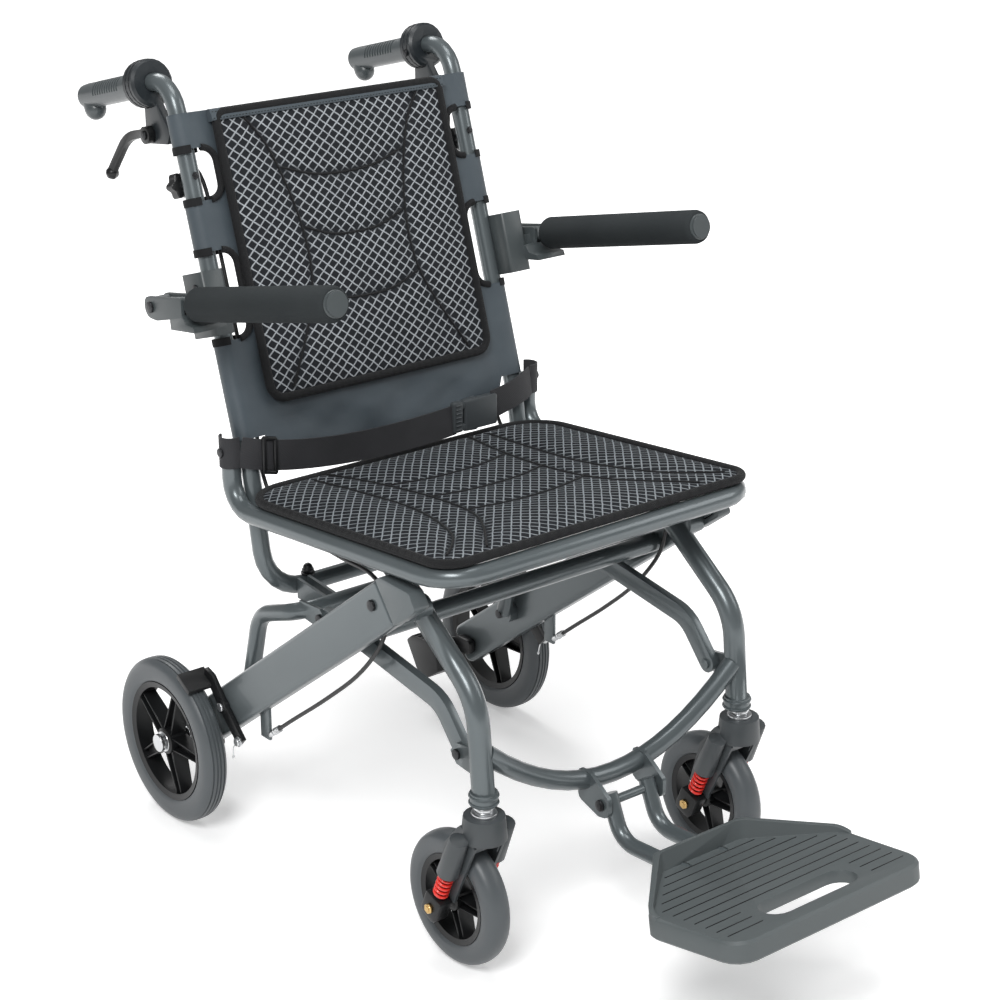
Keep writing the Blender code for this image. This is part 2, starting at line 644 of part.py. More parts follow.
def back_frame():
    top, low = CANE_TOP_Z, BACK_BAR_Z
    end = on_handle(HANDLE_LENGTH - 14)
    x = CANE_X
    hinge = (HINGE_Y, HINGE_Z)
    path = fillet([(-x, *end), (-x, cane(top), top), (-x, *hinge), (-x, cane(low), low), (x, cane(low), low),
                   (x, *hinge), (x, cane(top), top), (x, *end)], [CANE_BEND, 200, 50, 50, 200, CANE_BEND], 6)
    frame = tube(path, CANE_R)
    buffers = [rod((side * 137, cane(low), low - 22), (side * 137, cane(low), low + 13), 5, 10) for side in (-1, 1)]
    node(fuse(frame, *buffers), "back_frame", frame_paint, back_axis)


def back_fabric():
    low, high, flap_low = up_cane(HINGE_Z + 27), up_cane(SLEEVE_TOP_Z), up_cane(HINGE_Z - 5)
    sleeve_r, sheet_front, sheet_thick = CANE_R + 2.6, 7.5, 2.5
    edge, flap_half = 0.8, 150
    outline = [(-CANE_X, low + edge), (-flap_half, flap_low), (flap_half, flap_low), (CANE_X, low + edge),
               (CANE_X, high - edge), (-CANE_X, high - edge)]
    sling = slab(outline, sheet_front, sheet_front + sheet_thick, on_back)
    for side in (-1, 1):
        sling = fuse(sling, rod(on_back(side * CANE_X, low, 0), on_back(side * CANE_X, high, 0), sleeve_r, 16))
    for side in (-1, 1):
        x = side * CANE_X
        bore = rod(on_back(x, low - 9, 0), on_back(x, high + 9, 0), CANE_R + 0.5, 16)
        windows = []
        for z0, z1 in ((above_arm_window(0.365), above_arm_window(0.743)), ARM_WINDOW):
            inner_x, outer_x = x - side * 30, x + side * 24
            bottom, top, corner = up_cane(z0), up_cane(z1), (z1 - z0) * 0.28
            window = round_outline([(inner_x, bottom), (outer_x, bottom), (outer_x, top), (inner_x, top)],
                                   [corner, 2, 2, corner], 3)
            windows.append(slab(window, -30, 30, on_back))
        sling = cut_away(sling, bore, *windows)
    node(sling, "back_sling", nylon, back_axis)
    half, pad_low = 162, up_cane(HINGE_Z + 35)
    pad_front = sheet_front + sheet_thick + GAP
    outline = round_outline([(-half, pad_low), (half, pad_low), (half, high), (-half, high)], [16, 16, 12, 12])
    pad = slab(outline, pad_front, pad_front + 14, on_back)
    node(rounded_edges(pad, 4, 1), "back_pad", net_fabric, back_axis)


def armrest(word, side):
    y, z = ARM_PIVOT
    low, high = up_cane(z - ARM_BLOCK_BELOW), up_cane(z + ARM_BLOCK_ABOVE)
    block_in, block_out, block_front, block_back = CANE_X + 4, CANE_X + 34, 36, -6
    clamp = round_outline([(block_in, block_back), (block_out, block_back), (block_out, block_front),
                           (block_in, block_front)], [2, 3, 4, 4], 2)
    block = slab(clamp, low, high, lambda x, front, up: on_back(side * x, up, front))
    cheek_room, cheek_thick = ARM_TUBE_R + 0.8, 4.2
    inner, outer = ARM_X - cheek_room - cheek_thick, ARM_X + cheek_room + cheek_thick
    cheek_front, pivot_r = y - 64, 13
    eye_back = round_outline([(y + pivot_r, z - pivot_r), (y + pivot_r, z + 10), (cheek_front, arm_z(cheek_front) + 9.5),
                              (cheek_front, arm_z(cheek_front) - 13), (y - 12, z - pivot_r)],
                             [12, 10, 3, 2, 20], 3)
    cheeks = [side_plate(eye_back, side, x0, x0 + cheek_thick) for x0 in (inner, ARM_X + cheek_room)]
    shelf_rear, shelf_front, under = y - 38, y - 86, ARM_TUBE_R + 1.2
    foam_under = arm_z(FOAM_REAR_Y) - FOAM_R / cos(ARM_SLOPE) - 1.2
    shelf = [(shelf_rear - 2, z - 17), (shelf_rear, arm_z(shelf_rear) - under),
             (cheek_front, arm_z(cheek_front) - under), (cheek_front - 7, foam_under), (shelf_front, foam_under),
             (shelf_front - 3, foam_under - 6)]
    wedge = side_plate(shelf, side, block_out - 6, outer - 0.4)
    link = side_plate([(y - 24, z - 12), (y - 24, z + 5), (y - 55, z + 14), (y - 56, z - 8)], side, block_out - 3, inner + 2)
    bracket = fuse(block, *cheeks, wedge, link)
    bore = rod(on_back(side * CANE_X, low - 9, 0), on_back(side * CANE_X, high + 9, 0), CANE_R + 0.4, 16)
    node(cut_away(bracket, bore), "arm_bracket_" + word, grey_plastic, back_axis)
    axis = empty("armrest_axis_" + word, (side * ARM_X, y, z), back_axis)
    x = side * ARM_X
    bar = rod((x, y, z), (x, ARM_FRONT_Y - GAP, arm_z(ARM_FRONT_Y - GAP)), ARM_TUBE_R, 14)
    eye = across(side, ARM_X - cheek_room + GAP, ARM_X + cheek_room - GAP, (y, z), 11)
    plug = rod((x, ARM_FRONT_Y - GAP, arm_z(ARM_FRONT_Y - GAP)), (x, ARM_FRONT_Y - 4, arm_z(ARM_FRONT_Y - 4)),
               13, 18)
    node(fuse(bar, eye, plug), "arm_tube_" + word, grey_plastic, axis)
    foam = rod((x, FOAM_REAR_Y, arm_z(FOAM_REAR_Y)), (x, ARM_FRONT_Y, arm_z(ARM_FRONT_Y)), FOAM_R, 20)
    foam = rounded_edges(foam, 5, 2)
    foam = cut_away(foam, rod((x, FOAM_REAR_Y + 20, arm_z(FOAM_REAR_Y + 20)),
                              (x, ARM_FRONT_Y - 20, arm_z(ARM_FRONT_Y - 20)), ARM_TUBE_R + GAP, 14))
    node(foam, "arm_foam_" + word, foam_black, axis)


def push_handle(word, side):
    x = side * CANE_X
    start, end = CANE_BEND + BRAKE_CLAMP_LENGTH, HANDLE_LENGTH + 2
    grip = rod((x, *on_handle(start)), (x, *on_handle(end)), 15, 18)
    grip = rounded_edges(grip, 4, 2)
    hook = rod((x, *on_handle(end - 15, 4)), (x, *on_handle(end - 19, 27)), 13.5, 16, 12.5)
    bore = rod((x, *on_handle(start - 20)), (x, *on_handle(HANDLE_LENGTH - 13)), CANE_R + GAP, 16)
    node(cut_away(fuse(grip, hook), bore), "hand_grip_" + word, black_plastic, back_axis)
    ring_start, ring_end = CANE_BEND, start - GAP
    clamp = rod((x, *on_handle(ring_start)), (x, *on_handle(ring_end)), 27, 22)
    clamp = rounded_edges(clamp, 3, 1)
    lever_at = on_handle(start - 4, 56)
    mount = side_plate([on_handle(ring_start + 2, 16), on_handle(ring_end - 2, 16), (lever_at[0] + 11, lever_at[1] + 8),
                        (lever_at[0] + 4, lever_at[1] - 11), (lever_at[0] - 34, lever_at[1] - 6),
                        (lever_at[0] - 40, lever_at[1] + 8)], side, CANE_X - 7, CANE_X + 2)
    bore = rod((x, *on_handle(ring_start - 9)), (x, *on_handle(ring_end + 9)), CANE_R + GAP, 16)
    node(cut_away(fuse(clamp, mount), bore), "brake_housing_" + word, black_plastic, back_axis)
    axis = empty("brake_lever_axis_" + word, (x, *lever_at), back_axis)
    y, z = lever_at
    path = fillet([(y - 6, z + 4, 0), (y + 44, z - 8, 0), (y + 84, z - 56, 0)], [60], 6)
    blade = side_plate(strip([(p.x, p.y) for p in path], 5), side, CANE_X + 3, CANE_X + 10)
    boss = across(side, CANE_X + 2.4, CANE_X + 11, lever_at, 10)
    tip = ring([(0.2, -8), (5.6, -5.6), (8, 0), (5.6, 5.6), (0.2, 8)], (side * (CANE_X + 6.5), y + 84, z - 58), 12)
    node(fuse(blade, boss, tip), "brake_lever_" + word, black_plastic, axis)


def star_knob(word, side):
    up = up_cane(above_arm_window(0.507))
    x = side * CANE_X
    axis = empty("knob_axis_" + word, on_back(x, up, 0), back_axis)
    outline = []
    for i in range(36):
        a = 2 * pi * i / 36
        r = 14 + 1.8 * cos(6 * a)
        outline.append((x + r * cos(a), up + r * sin(a)))
    head = rounded_edges(slab(outline, -32, -17, on_back), 1.5, 1)
    stem = rod(on_back(x, up, -CANE_R - GAP), on_back(x, up, -20), 5, 12)
    node(fuse(head, stem), "star_knob_" + word, black_plastic, axis)


def brake_cable(word, side):
    lever_y, lever_z = on_handle(CANE_BEND + BRAKE_CLAMP_LENGTH - 4, 56)
    behind = 8
    route = [(CANE_X - 3, lever_y - 40.5, lever_z + 1), (186, 12, lever_z - 18), (174, cane(770) + behind, 770),
             (171, cane(700) + behind, 700), (171, cane(600) + behind, 600), (171, cane(510) + behind, 510),
             (171, -96, 455), (173, -125, 420), (178, -190, 404), (188, -275, 405), (198, -342, 410),
             (200.3, -372, 392), (200.3, -371, 362), (200.8, -357, 330), (203, -318, 284), (208, -262, 236),
             (212, -205, 192), (214, -163, 159)]
    points = [Vector((side * x, y, z)) for x, y, z in route]
    smooth = []
    for i in range(len(points) - 1):
        before, start = points[max(i - 1, 0)], points[i]
        end, after = points[i + 1], points[min(i + 2, len(points) - 1)]
        for step in range(2):
            t = step / 2
            smooth.append(0.5 * (2 * start + (end - before) * t
                                 + (2 * before - 5 * start + 4 * end - after) * t ** 2
                                 + (3 * start - before - 3 * end + after) * t ** 3))
    smooth.append(points[-1])
    node(tube(smooth, 2.4, 6), "brake_cable_" + word, black_plastic, root)


def footrest():
    pieces = []
    for side in (-1, 1):
        x = side * FOOT_TUBE_X
        y, z = FOOT_PIVOT
        path = fillet([(x, y + 3, z + 9), (x, y - 19, z - 41), on_plate(x, -712, -14)], [30], 6)
        pieces.append(tube(path, FOOT_TUBE_R))
    pin = rod((-FOOT_TUBE_X - FOOT_TUBE_R - 0.6, *FOOT_PIVOT), (FOOT_TUBE_X + FOOT_TUBE_R + 0.6, *FOOT_PIVOT), 5, 12)
    node(fuse(pin, *pieces), "footrest_tubes", frame_paint, foot_axis)

    wide_x, wide_y = PLATE_WIDE
    heel = 62

    def outline(inset):
        return round_outline([(inset - heel, PLATE_HEEL_Y - inset), (inset - wide_x, wide_y - inset * 0.4),
                              (inset - 137, PLATE_FRONT_Y + inset), (137 - inset, PLATE_FRONT_Y + inset),
                              (wide_x - inset, wide_y - inset * 0.4), (heel - inset, PLATE_HEEL_Y - inset)],
                             [16, 22, 28, 28, 22, 16], 4)

    body = slab(outline(0), -PLATE_THICK, 0, on_plate)
    body = rounded_edges(body, 3, 1)
    slot_half, slot_r, slot_y, wall, skin = 64, 19, -806, 4, 5

    def slot(grow):
        return round_outline([(-slot_half - grow, slot_y - slot_r - grow), (slot_half + grow, slot_y - slot_r - grow),
                              (slot_half + grow, slot_y + slot_r + grow), (-slot_half - grow, slot_y + slot_r + grow)],
                             [(slot_r + grow) * 0.98] * 4, 4)

    hollow = cut_away(slab(outline(wall), -PLATE_THICK - 9, -skin, on_plate),
                      slab(slot(wall), -PLATE_THICK - 12, 2, on_plate))
    body = cut_away(body, hollow, slab(slot(0), -PLATE_THICK - 12, 9, on_plate))
    rim_high, rim_thick, rim_end = 22, 5, -738

    def rim_point(i, edge, height):
        x, y = edge[i]
        share = min(1, max(0.06, (y - rim_end) / 60))
        return Vector(on_plate(x, y, height * share if height > 0 else height)) * MM

    outer = [p for p in outline(0.6) if p[1] > rim_end]
    inner = [p for p in outline(0.6 + rim_thick) if p[1] > rim_end - 2]
    order = sorted(outer, key=lambda p: p[0])
    order_in = sorted(inner, key=lambda p: p[0])
    count = min(len(order), len(order_in))
    order, order_in = order[:count], order_in[:count]
    bm = bmesh.new()
    bands = [[bm.verts.new(rim_point(i, edge, h)) for i in range(count)]
             for edge, h in ((order, -2.5), (order, rim_high), (order_in, rim_high), (order_in, -2.5))]
    for k in range(4):
        low_band, high_band = bands[k], bands[(k + 1) % 4]
        for i in range(count - 1):
            bm.faces.new((low_band[i], low_band[i + 1], high_band[i + 1], high_band[i]))
    bm.faces.new([band[0] for band in bands])
    bm.faces.new([band[-1] for band in bands])
    body = fuse(body, as_object(bm))
    for side in (-1, 1):
        x = side * FOOT_TUBE_X
        y, z = FOOT_PIVOT
        start, end = Vector((x, y - 19, z - 41)), Vector(on_plate(x, -712, -14))
        ahead = (end - start).normalized()
        body = cut_away(body, rod(start + ahead * 40, end + ahead * 6, FOOT_TUBE_R + 0.4, 16))
    node(body, "footplate", black_plastic, foot_axis)


def seat_belt():
    wide, thick = 36, 2.4
    buckle_from, buckle_to = 78, 148
    reach = SEAT_RAIL_X - 4.5
    belt_y, hook_front = SEAT_REAR_Y - 24, SEAT_REAR_Y - SEAT_TUBE_R - thick / 2 + 0.6

    def height(x):
        return HINGE_Z - 4 + 14 * (x / reach) ** 2

    def depth(x):
        return belt_y + (hook_front - belt_y) * (abs(x) / reach) ** 10

    def band(x0, x1, name):
        bm = bmesh.new()
        rings = []
        for i in range(13):
            x = x0 + (x1 - x0) * i / 12
            corners = ((-thick / 2, -wide / 2), (thick / 2, -wide / 2), (thick / 2, wide / 2), (-thick / 2, wide / 2))
            rings.append([bm.verts.new(Vector((x, depth(x) + dy, height(x) + dz)) * MM) for dy, dz in corners])
        bm.faces.new(rings[0])
        bm.faces.new(rings[-1])
        for a, b in zip(rings, rings[1:]):
            for k in range(4):
                m = (k + 1) % 4
                bm.faces.new((a[k], a[m], b[m], b[k]))
        node(as_object(bm), name, webbing, root)

    band(-reach, buckle_from - GAP, "seat_belt_right")
    band(buckle_to + GAP, reach, "seat_belt_left")
    middle = (buckle_from + buckle_to) / 2
    low, high = HINGE_Z - 18, HINGE_Z + 21
    outline = round_outline([(buckle_from, low), (buckle_to, low), (buckle_to, high), (buckle_from, high)], [5] * 4, 2)
    buckle = slab(outline, depth(middle) - 7, depth(middle) + 6, lambda x, z, y: (x, y, z))
    node(rounded_edges(buckle, 2, 1), "belt_buckle", black_plastic, root)


seat()
lower_cross_bar()
rear_tube()
rear_loop()
back_frame()
back_fabric()
footrest()
seat_belt()
for side_word, side_sign in SIDES:
    front_leg(side_word, side_sign)
    rear_leg(side_word, side_sign)
    rear_axle(side_word, side_sign)
    tip_pedal(side_word, side_sign)
    brace(side_word, side_sign)
    rear_wheel(side_word, side_sign)
    brake_arm(side_word, side_sign)
    caster(side_word, side_sign)
    armrest(side_word, side_sign)
    push_handle(side_word, side_sign)
    star_knob(side_word, side_sign)
    brake_cable(side_word, side_sign)
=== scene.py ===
"""Looks of the folding transport wheelchair: cloth, tyres, mouldings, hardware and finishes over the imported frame.

Sizes are chair millimetres: +X is the user's left, -Y is forward, y = 0 at the rear axle, +Z up from the floor.
"""
from math import cos, exp, hypot, pi, radians, sin, tan

import bmesh
import bpy
from mathutils import Matrix, Vector


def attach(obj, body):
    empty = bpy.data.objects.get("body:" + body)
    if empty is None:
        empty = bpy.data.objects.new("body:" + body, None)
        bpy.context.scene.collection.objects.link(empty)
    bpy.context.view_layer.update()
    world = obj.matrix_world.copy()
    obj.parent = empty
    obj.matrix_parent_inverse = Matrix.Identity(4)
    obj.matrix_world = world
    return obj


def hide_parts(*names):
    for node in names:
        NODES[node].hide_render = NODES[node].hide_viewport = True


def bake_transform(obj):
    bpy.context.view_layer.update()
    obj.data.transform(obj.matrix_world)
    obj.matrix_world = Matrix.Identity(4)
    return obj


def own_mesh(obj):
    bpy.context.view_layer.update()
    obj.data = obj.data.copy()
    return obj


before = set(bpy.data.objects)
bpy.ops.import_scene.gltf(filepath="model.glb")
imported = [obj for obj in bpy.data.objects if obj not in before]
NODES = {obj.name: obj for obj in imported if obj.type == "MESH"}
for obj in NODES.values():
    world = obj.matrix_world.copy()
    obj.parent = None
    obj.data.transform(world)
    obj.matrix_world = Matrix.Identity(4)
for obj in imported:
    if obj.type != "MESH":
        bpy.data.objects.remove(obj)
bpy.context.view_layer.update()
MM = 0.001
AXLE_Y = 317
SIDES = (("right", -1), ("left", 1))
SEAT_REAR_Y, RAIL_REAR_Z = -103, 419
UP = Vector((0, 0, 1))
HINGE_Y, HINGE_Z = -107, 468
RECLINE, FOOT_LEAN = radians(17.4), radians(10)
CANE_X, CANE_R = 193.5, 10.5
SEAT_TILT = radians(5)
HANDLE_SLOPE = radians(14.4)
CANE_TOP, SLEEVE_TOP = 883.3, 845.3
REAR_WHEEL_R, REAR_WHEEL_X = 101.5, 248
CASTER_X, CASTER_Y, CASTER_R = 186, -474, 76
LEG_SLOPE, PLATE_TILT = radians(37), radians(9.3)
ARM_X, ARM_Y, ARM_Z, ARM_SLOPE = 250, -28, 646, radians(12.6)
BELT_REACH, BELT_WIDE, BUCKLE_Z, BUCKLE = 211, 36, 469, (80, 146)
BELT_Y = SEAT_REAR_Y - 24
STITCH_PITCH = 4.2


# Places on the chair


def at(x, y, z):
    return Vector((x * MM, (y + AXLE_Y) * MM, z * MM))


def on_back(x, along, front):
    """By the distance up the cane from the hinge, and in front of it."""
    return at(x, HINGE_Y + along * sin(RECLINE) - front * cos(RECLINE),
              HINGE_Z + along * cos(RECLINE) + front * sin(RECLINE))


def up_cane(z):
    return (z - HINGE_Z) / cos(RECLINE)


def cane_y(z):
    return HINGE_Y + tan(RECLINE if z > HINGE_Z else FOOT_LEAN) * (z - HINGE_Z)


def on_handle(x, along, below=0):
    return at(x, cane_y(CANE_TOP) + along * cos(HANDLE_SLOPE) - below * sin(HANDLE_SLOPE),
              CANE_TOP - along * sin(HANDLE_SLOPE) - below * cos(HANDLE_SLOPE))


def rail_z(y):
    return RAIL_REAR_Z + tan(SEAT_TILT) * (SEAT_REAR_Y - y)


def off(point, way, distance):
    return point + way * distance * MM


AHEAD = on_back(0, 0, 1) - on_back(0, 0, 0)  # one millimetre out of the front of the back


# Node groups and materials


def put(thing, **values):
    for label, value in values.items():
        setattr(thing, label, value)
    return thing


def feed(socket, value):
    """Sets a socket, or links it when the value is a socket too."""
    if isinstance(value, bpy.types.NodeSocket):
        socket.id_data.links.new(value, socket)
    else:
        socket.default_value = value


def fill(node, **values):
    """Feeds a node's inputs by name; _ stands for a space."""
    for label, value in values.items():
        feed(node.inputs[label.replace("_", " ")], value)
    return node


def shader_group(name, inputs, outputs):
    made = bpy.data.node_groups.new(name, "ShaderNodeTree")
    for label, value in inputs:
        made.interface.new_socket(label, in_out="INPUT", socket_type="NodeSocketFloat").default_value = value
    made.interface.new_socket("Vector", in_out="INPUT", socket_type="NodeSocketVector")
    for label in outputs:
        made.interface.new_socket(label, in_out="OUTPUT", socket_type="NodeSocketFloat")
    return made, made.nodes.new("NodeGroupInput").outputs, made.nodes.new("NodeGroupOutput")


def maths(tree, operation, *values):
    made = put(tree.nodes.new("ShaderNodeMath"), operation=operation)
    for socket, value in zip(made.inputs, values):
        feed(socket, value)
    return made.outputs[0]


def noise(tree, vector, scale, detail):
    return fill(tree.nodes.new("ShaderNodeTexNoise"), Detail=detail, Vector=vector, Scale=scale).outputs["Fac"]


def fade(tree, value, **ends):
    made = put(tree.nodes.new("ShaderNodeMapRange"), interpolation_type="SMOOTHSTEP")
    return fill(made, Value=value, **ends).outputs[0]


def grain_group():
    """Fine moulded or sprayed texture, with slow patches of tone."""
    tree, given, out = shader_group("surface_grain", [("Grain Size", 900.0), ("Patch Size", 14.0)],
                                    ["Height", "Tone"])
    fill(out, Height=noise(tree, given["Vector"], given["Grain Size"], 2.0),
         Tone=noise(tree, given["Vector"], given["Patch Size"], 4.0))
    return tree


def weave_group():
    """Plain weave: two crossing sets of threads over the coordinates given."""
    tree, given, out = shader_group("plain_weave", [("Threads", 900.0)], ["Height", "Tone"])
    split = fill(tree.nodes.new("ShaderNodeSeparateXYZ"), Vector=given["Vector"])
    warp, weft = (maths(tree, "SINE", maths(tree, "MULTIPLY", way, given["Threads"])) for way in split.outputs[:2])
    crossing = maths(tree, "MULTIPLY", warp, weft)
    fill(out, Height=maths(tree, "MULTIPLY_ADD", crossing, 0.5, 0.5), Tone=noise(tree, given["Vector"], 25.0, 4.0))
    return tree


def net_group():
    """A knitted diamond net: pale crossing strands, wavering in width, over dark holes."""
    tree, given, out = shader_group("diamond_net", [("Across", 0.012), ("Along", 0.017), ("Strand", 0.16)],
                                    ["Strand Mask"])
    split = fill(tree.nodes.new("ShaderNodeSeparateXYZ"), Vector=given["Vector"])
    wander = maths(tree, "MULTIPLY_ADD", noise(tree, given["Vector"], 90.0, 2.0), 0.24, -0.12)
    u = maths(tree, "ADD", maths(tree, "DIVIDE", split.outputs[0], given["Across"]), wander)
    v = maths(tree, "DIVIDE", split.outputs[1], given["Along"])
    distances = []
    for sign in (1, -1):
        run = maths(tree, "FRACT", maths(tree, "ADD", u, maths(tree, "MULTIPLY", v, sign)))
        distances.append(maths(tree, "ABSOLUTE", maths(tree, "SUBTRACT", run, 0.5)))
    fill(out, Strand_Mask=fade(tree, maths(tree, "MINIMUM", *distances), From_Min=0.03, From_Max=given["Strand"],
                               To_Min=1.0, To_Max=0.0))
    return tree


GRAIN, WEAVE, NET = grain_group(), weave_group(), net_group()


def colour_mix(tree, factor, low, high):
    made = put(tree.nodes.new("ShaderNodeMix"), data_type="RGBA")
    return fill(made, Factor=factor, A=(*low, 1), B=(*high, 1)).outputs["Result"]


def bump(tree, height, strength, distance):
    made = fill(tree.nodes.new("ShaderNodeBump"), Strength=strength, Distance=distance, Height=height)
    return made.outputs["Normal"]


def material(name, metallic=0.0, coat=0.0, sheen=0.0, gloss=0.5):
    made = put(bpy.data.materials.new(name), use_nodes=True)
    shader = made.node_tree.nodes["Principled BSDF"]
    fill(shader, Metallic=metallic, Coat_Weight=coat, Sheen_Weight=sheen, Specular_IOR_Level=gloss)
    return made, made.node_tree, shader


def coordinates(tree, socket):
    return tree.nodes.new("ShaderNodeTexCoord").outputs[socket]


def placed_group(tree, group, vector, **values):
    return fill(put(tree.nodes.new("ShaderNodeGroup"), node_tree=group), Vector=vector, **values).outputs


def grained(name, dark, light, rough, grain=900.0, depth=0.00012, strength=0.35, metallic=0.0, coat=0.0,
            gloss=0.5):
    """A paint or moulding: two near tones in slow patches that also vary the gloss, and fine grain in the normal."""
    made, tree, shader = material(name, metallic, coat, 0.0, gloss)
    skin = placed_group(tree, GRAIN, coordinates(tree, "Object"), Grain_Size=grain)
    low, high = rough
    fill(shader, Base_Color=colour_mix(tree, skin["Tone"], dark, light),
         Roughness=maths(tree, "MULTIPLY_ADD", skin["Tone"], high - low, low),
         Normal=bump(tree, skin["Height"], strength, depth))
    return made


def woven(name, dark, light, rough, threads, depth, sheen=0.05, gloss=0.2):
    """Flat cloth: a fine weave with broad shallow folds under it."""
    made, tree, shader = material(name, sheen=sheen, gloss=gloss)
    uv = coordinates(tree, "UV")
    cloth = placed_group(tree, WEAVE, uv, Threads=threads)
    total = maths(tree, "MULTIPLY_ADD", noise(tree, uv, 16.0, 2.0), 9.0, cloth["Height"])
    fill(shader, Base_Color=colour_mix(tree, cloth["Tone"], dark, light),
         Roughness=maths(tree, "MULTIPLY_ADD", cloth["Tone"], 0.2, rough), Normal=bump(tree, total, 0.5, depth))
    return made


def netting(name, across, along, strand, pale):
    """Padded net cloth: the strands fade to the dark ground along the seams, as painted shade in the seam creases where
    the pad sinks.
    """
    made, tree, shader = material(name, gloss=0.15)
    uv = coordinates(tree, "UV")
    net = placed_group(tree, NET, uv, Across=across, Along=along, Strand=strand)
    # Read along the seams, this mark hides the pale strands: painted shade in the seam creases.
    sewn = put(tree.nodes.new("ShaderNodeAttribute"), attribute_name="seam_painted_shade")
    patches = maths(tree, "MULTIPLY_ADD", noise(tree, uv, 30.0, 2.0), 0.5, 0.62)
    shown = maths(tree, "MULTIPLY", net["Strand Mask"], maths(tree, "SUBTRACT", 1.0, sewn.outputs["Fac"]))
    fibres = maths(tree, "MULTIPLY", maths(tree, "MULTIPLY", shown, patches),
                   maths(tree, "MULTIPLY_ADD", noise(tree, uv, 700.0, 2.0), 0.7, 0.6))
    raised = maths(tree, "MULTIPLY_ADD", noise(tree, uv, 900.0, 1.0), 0.4, shown)
    fill(shader, Base_Color=colour_mix(tree, fibres, (0.016, 0.018, 0.021), pale),
         Roughness=maths(tree, "MULTIPLY_ADD", shown, -0.25, 0.85), Normal=bump(tree, raised, 0.6, 0.0012))
    return made


frame_paint = grained("frame_paint", (0.098, 0.117, 0.124), (0.122, 0.142, 0.149), (0.26, 0.36), 1400.0, 0.00008, 0.3,
                      0.35, 0.2)
black_moulding = grained("black_moulding", (0.006, 0.0065, 0.007), (0.011, 0.0115, 0.0125), (0.3, 0.42), gloss=0.35)
cap_moulding = grained("cap_moulding", (0.098, 0.116, 0.122), (0.122, 0.140, 0.146), (0.34, 0.46))
grey_moulding = grained("grey_moulding", (0.048, 0.058, 0.061), (0.064, 0.075, 0.078), (0.34, 0.48))
fork_moulding = grained("fork_moulding", (0.046, 0.053, 0.057), (0.062, 0.070, 0.075), (0.36, 0.5))
housing_moulding = grained("housing_moulding", (0.014, 0.018, 0.021), (0.022, 0.027, 0.031), (0.3, 0.44), gloss=0.4)
plate_moulding = grained("plate_moulding", (0.082, 0.096, 0.099), (0.102, 0.117, 0.120), (0.42, 0.56), 700.0, 0.0002,
                         0.5)
tyre_rubber = grained("tyre_rubber", (0.070, 0.080, 0.087), (0.092, 0.103, 0.110), (0.34, 0.48), 500.0, 0.0002, 0.4)
arm_foam = grained("arm_foam", (0.026, 0.030, 0.032), (0.040, 0.045, 0.047), (0.85, 0.95), 650.0, 0.0006, 0.8,
                   gloss=0.1)
grip_rubber = grained("grip_rubber", (0.062, 0.073, 0.077), (0.080, 0.092, 0.096), (0.24, 0.36), 1100.0)
bright_zinc = grained("bright_zinc", (0.55, 0.56, 0.57), (0.68, 0.69, 0.7), (0.22, 0.36), 500.0, 0.00005, 0.2, 1.0)
brass_bolt = grained("brass_bolt", (0.55, 0.36, 0.14), (0.66, 0.45, 0.19), (0.25, 0.4), 500.0, 0.00005, 0.2, 1.0)
dark_bolt = grained("dark_bolt", (0.03, 0.031, 0.033), (0.05, 0.051, 0.054), (0.28, 0.42), 800.0, 0.00005, 0.2, 0.8)
spring_red = grained("spring_red", (0.74, 0.022, 0.014), (0.88, 0.04, 0.025), (0.25, 0.38), 600.0, 0.00006, 0.2,
                     coat=0.3)
cable_sheath = grained("cable_sheath", (0.012, 0.012, 0.013), (0.020, 0.020, 0.021), (0.4, 0.5))
slate_nylon = woven("slate_nylon", (0.046, 0.061, 0.073), (0.074, 0.093, 0.108), 0.36, 3400.0, 0.0004, gloss=0.4)
black_binding = woven("black_binding", (0.008, 0.0085, 0.0095), (0.015, 0.0155, 0.0165), 0.65, 3000.0, 0.0003)
belt_webbing = woven("belt_webbing", (0.030, 0.0305, 0.0335), (0.046, 0.0465, 0.050), 0.55, 2200.0, 0.0003)
back_net = netting("back_net", 0.0143, 0.0126, 0.13, (0.46, 0.49, 0.52))
seat_net = netting("seat_net", 0.0126, 0.0150, 0.12, (0.32, 0.35, 0.375))


# Making pieces


solid = bmesh.new


def to_mesh(name, bm, outward=True):
    if outward:
        bmesh.ops.recalc_face_normals(bm, faces=bm.faces)
    mesh = bpy.data.meshes.new(name)
    bm.to_mesh(mesh)
    bm.free()
    return mesh


def linked(name, data):
    made = bpy.data.objects.new(name, data)
    bpy.context.scene.collection.objects.link(made)
    return made


def keep(name, bm, look, body, slot, stands_for=None, crease=38):
    bmesh.ops.remove_doubles(bm, verts=bm.verts, dist=1e-6)
    return keep_mesh(name, to_mesh(name, bm), look, body, slot, stands_for, crease)


def keep_mesh(name, mesh, look, body, slot, stands_for=None, crease=38):
    mesh.materials.clear()
    mesh.materials.append(look)
    mesh.shade_smooth()
    if crease:
        mesh.set_sharp_from_angle(angle=radians(crease))
    made = linked(name, mesh)
    if body:
        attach(made, body)
    if stands_for:
        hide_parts(stands_for)
    return made


def evaluated(item):
    bpy.context.view_layer.update()
    return bpy.data.meshes.new_from_object(item.evaluated_get(bpy.context.evaluated_depsgraph_get()))


def rod(bm, start, end, radius, sides):
    along = end - start
    place = Matrix.Translation((start + end) / 2) @ along.to_track_quat("Z", "Y").to_matrix().to_4x4()
    return bmesh.ops.create_cone(bm, cap_ends=True, segments=sides, radius1=radius * MM, radius2=radius * MM,
                                 depth=along.length, matrix=place)["verts"]


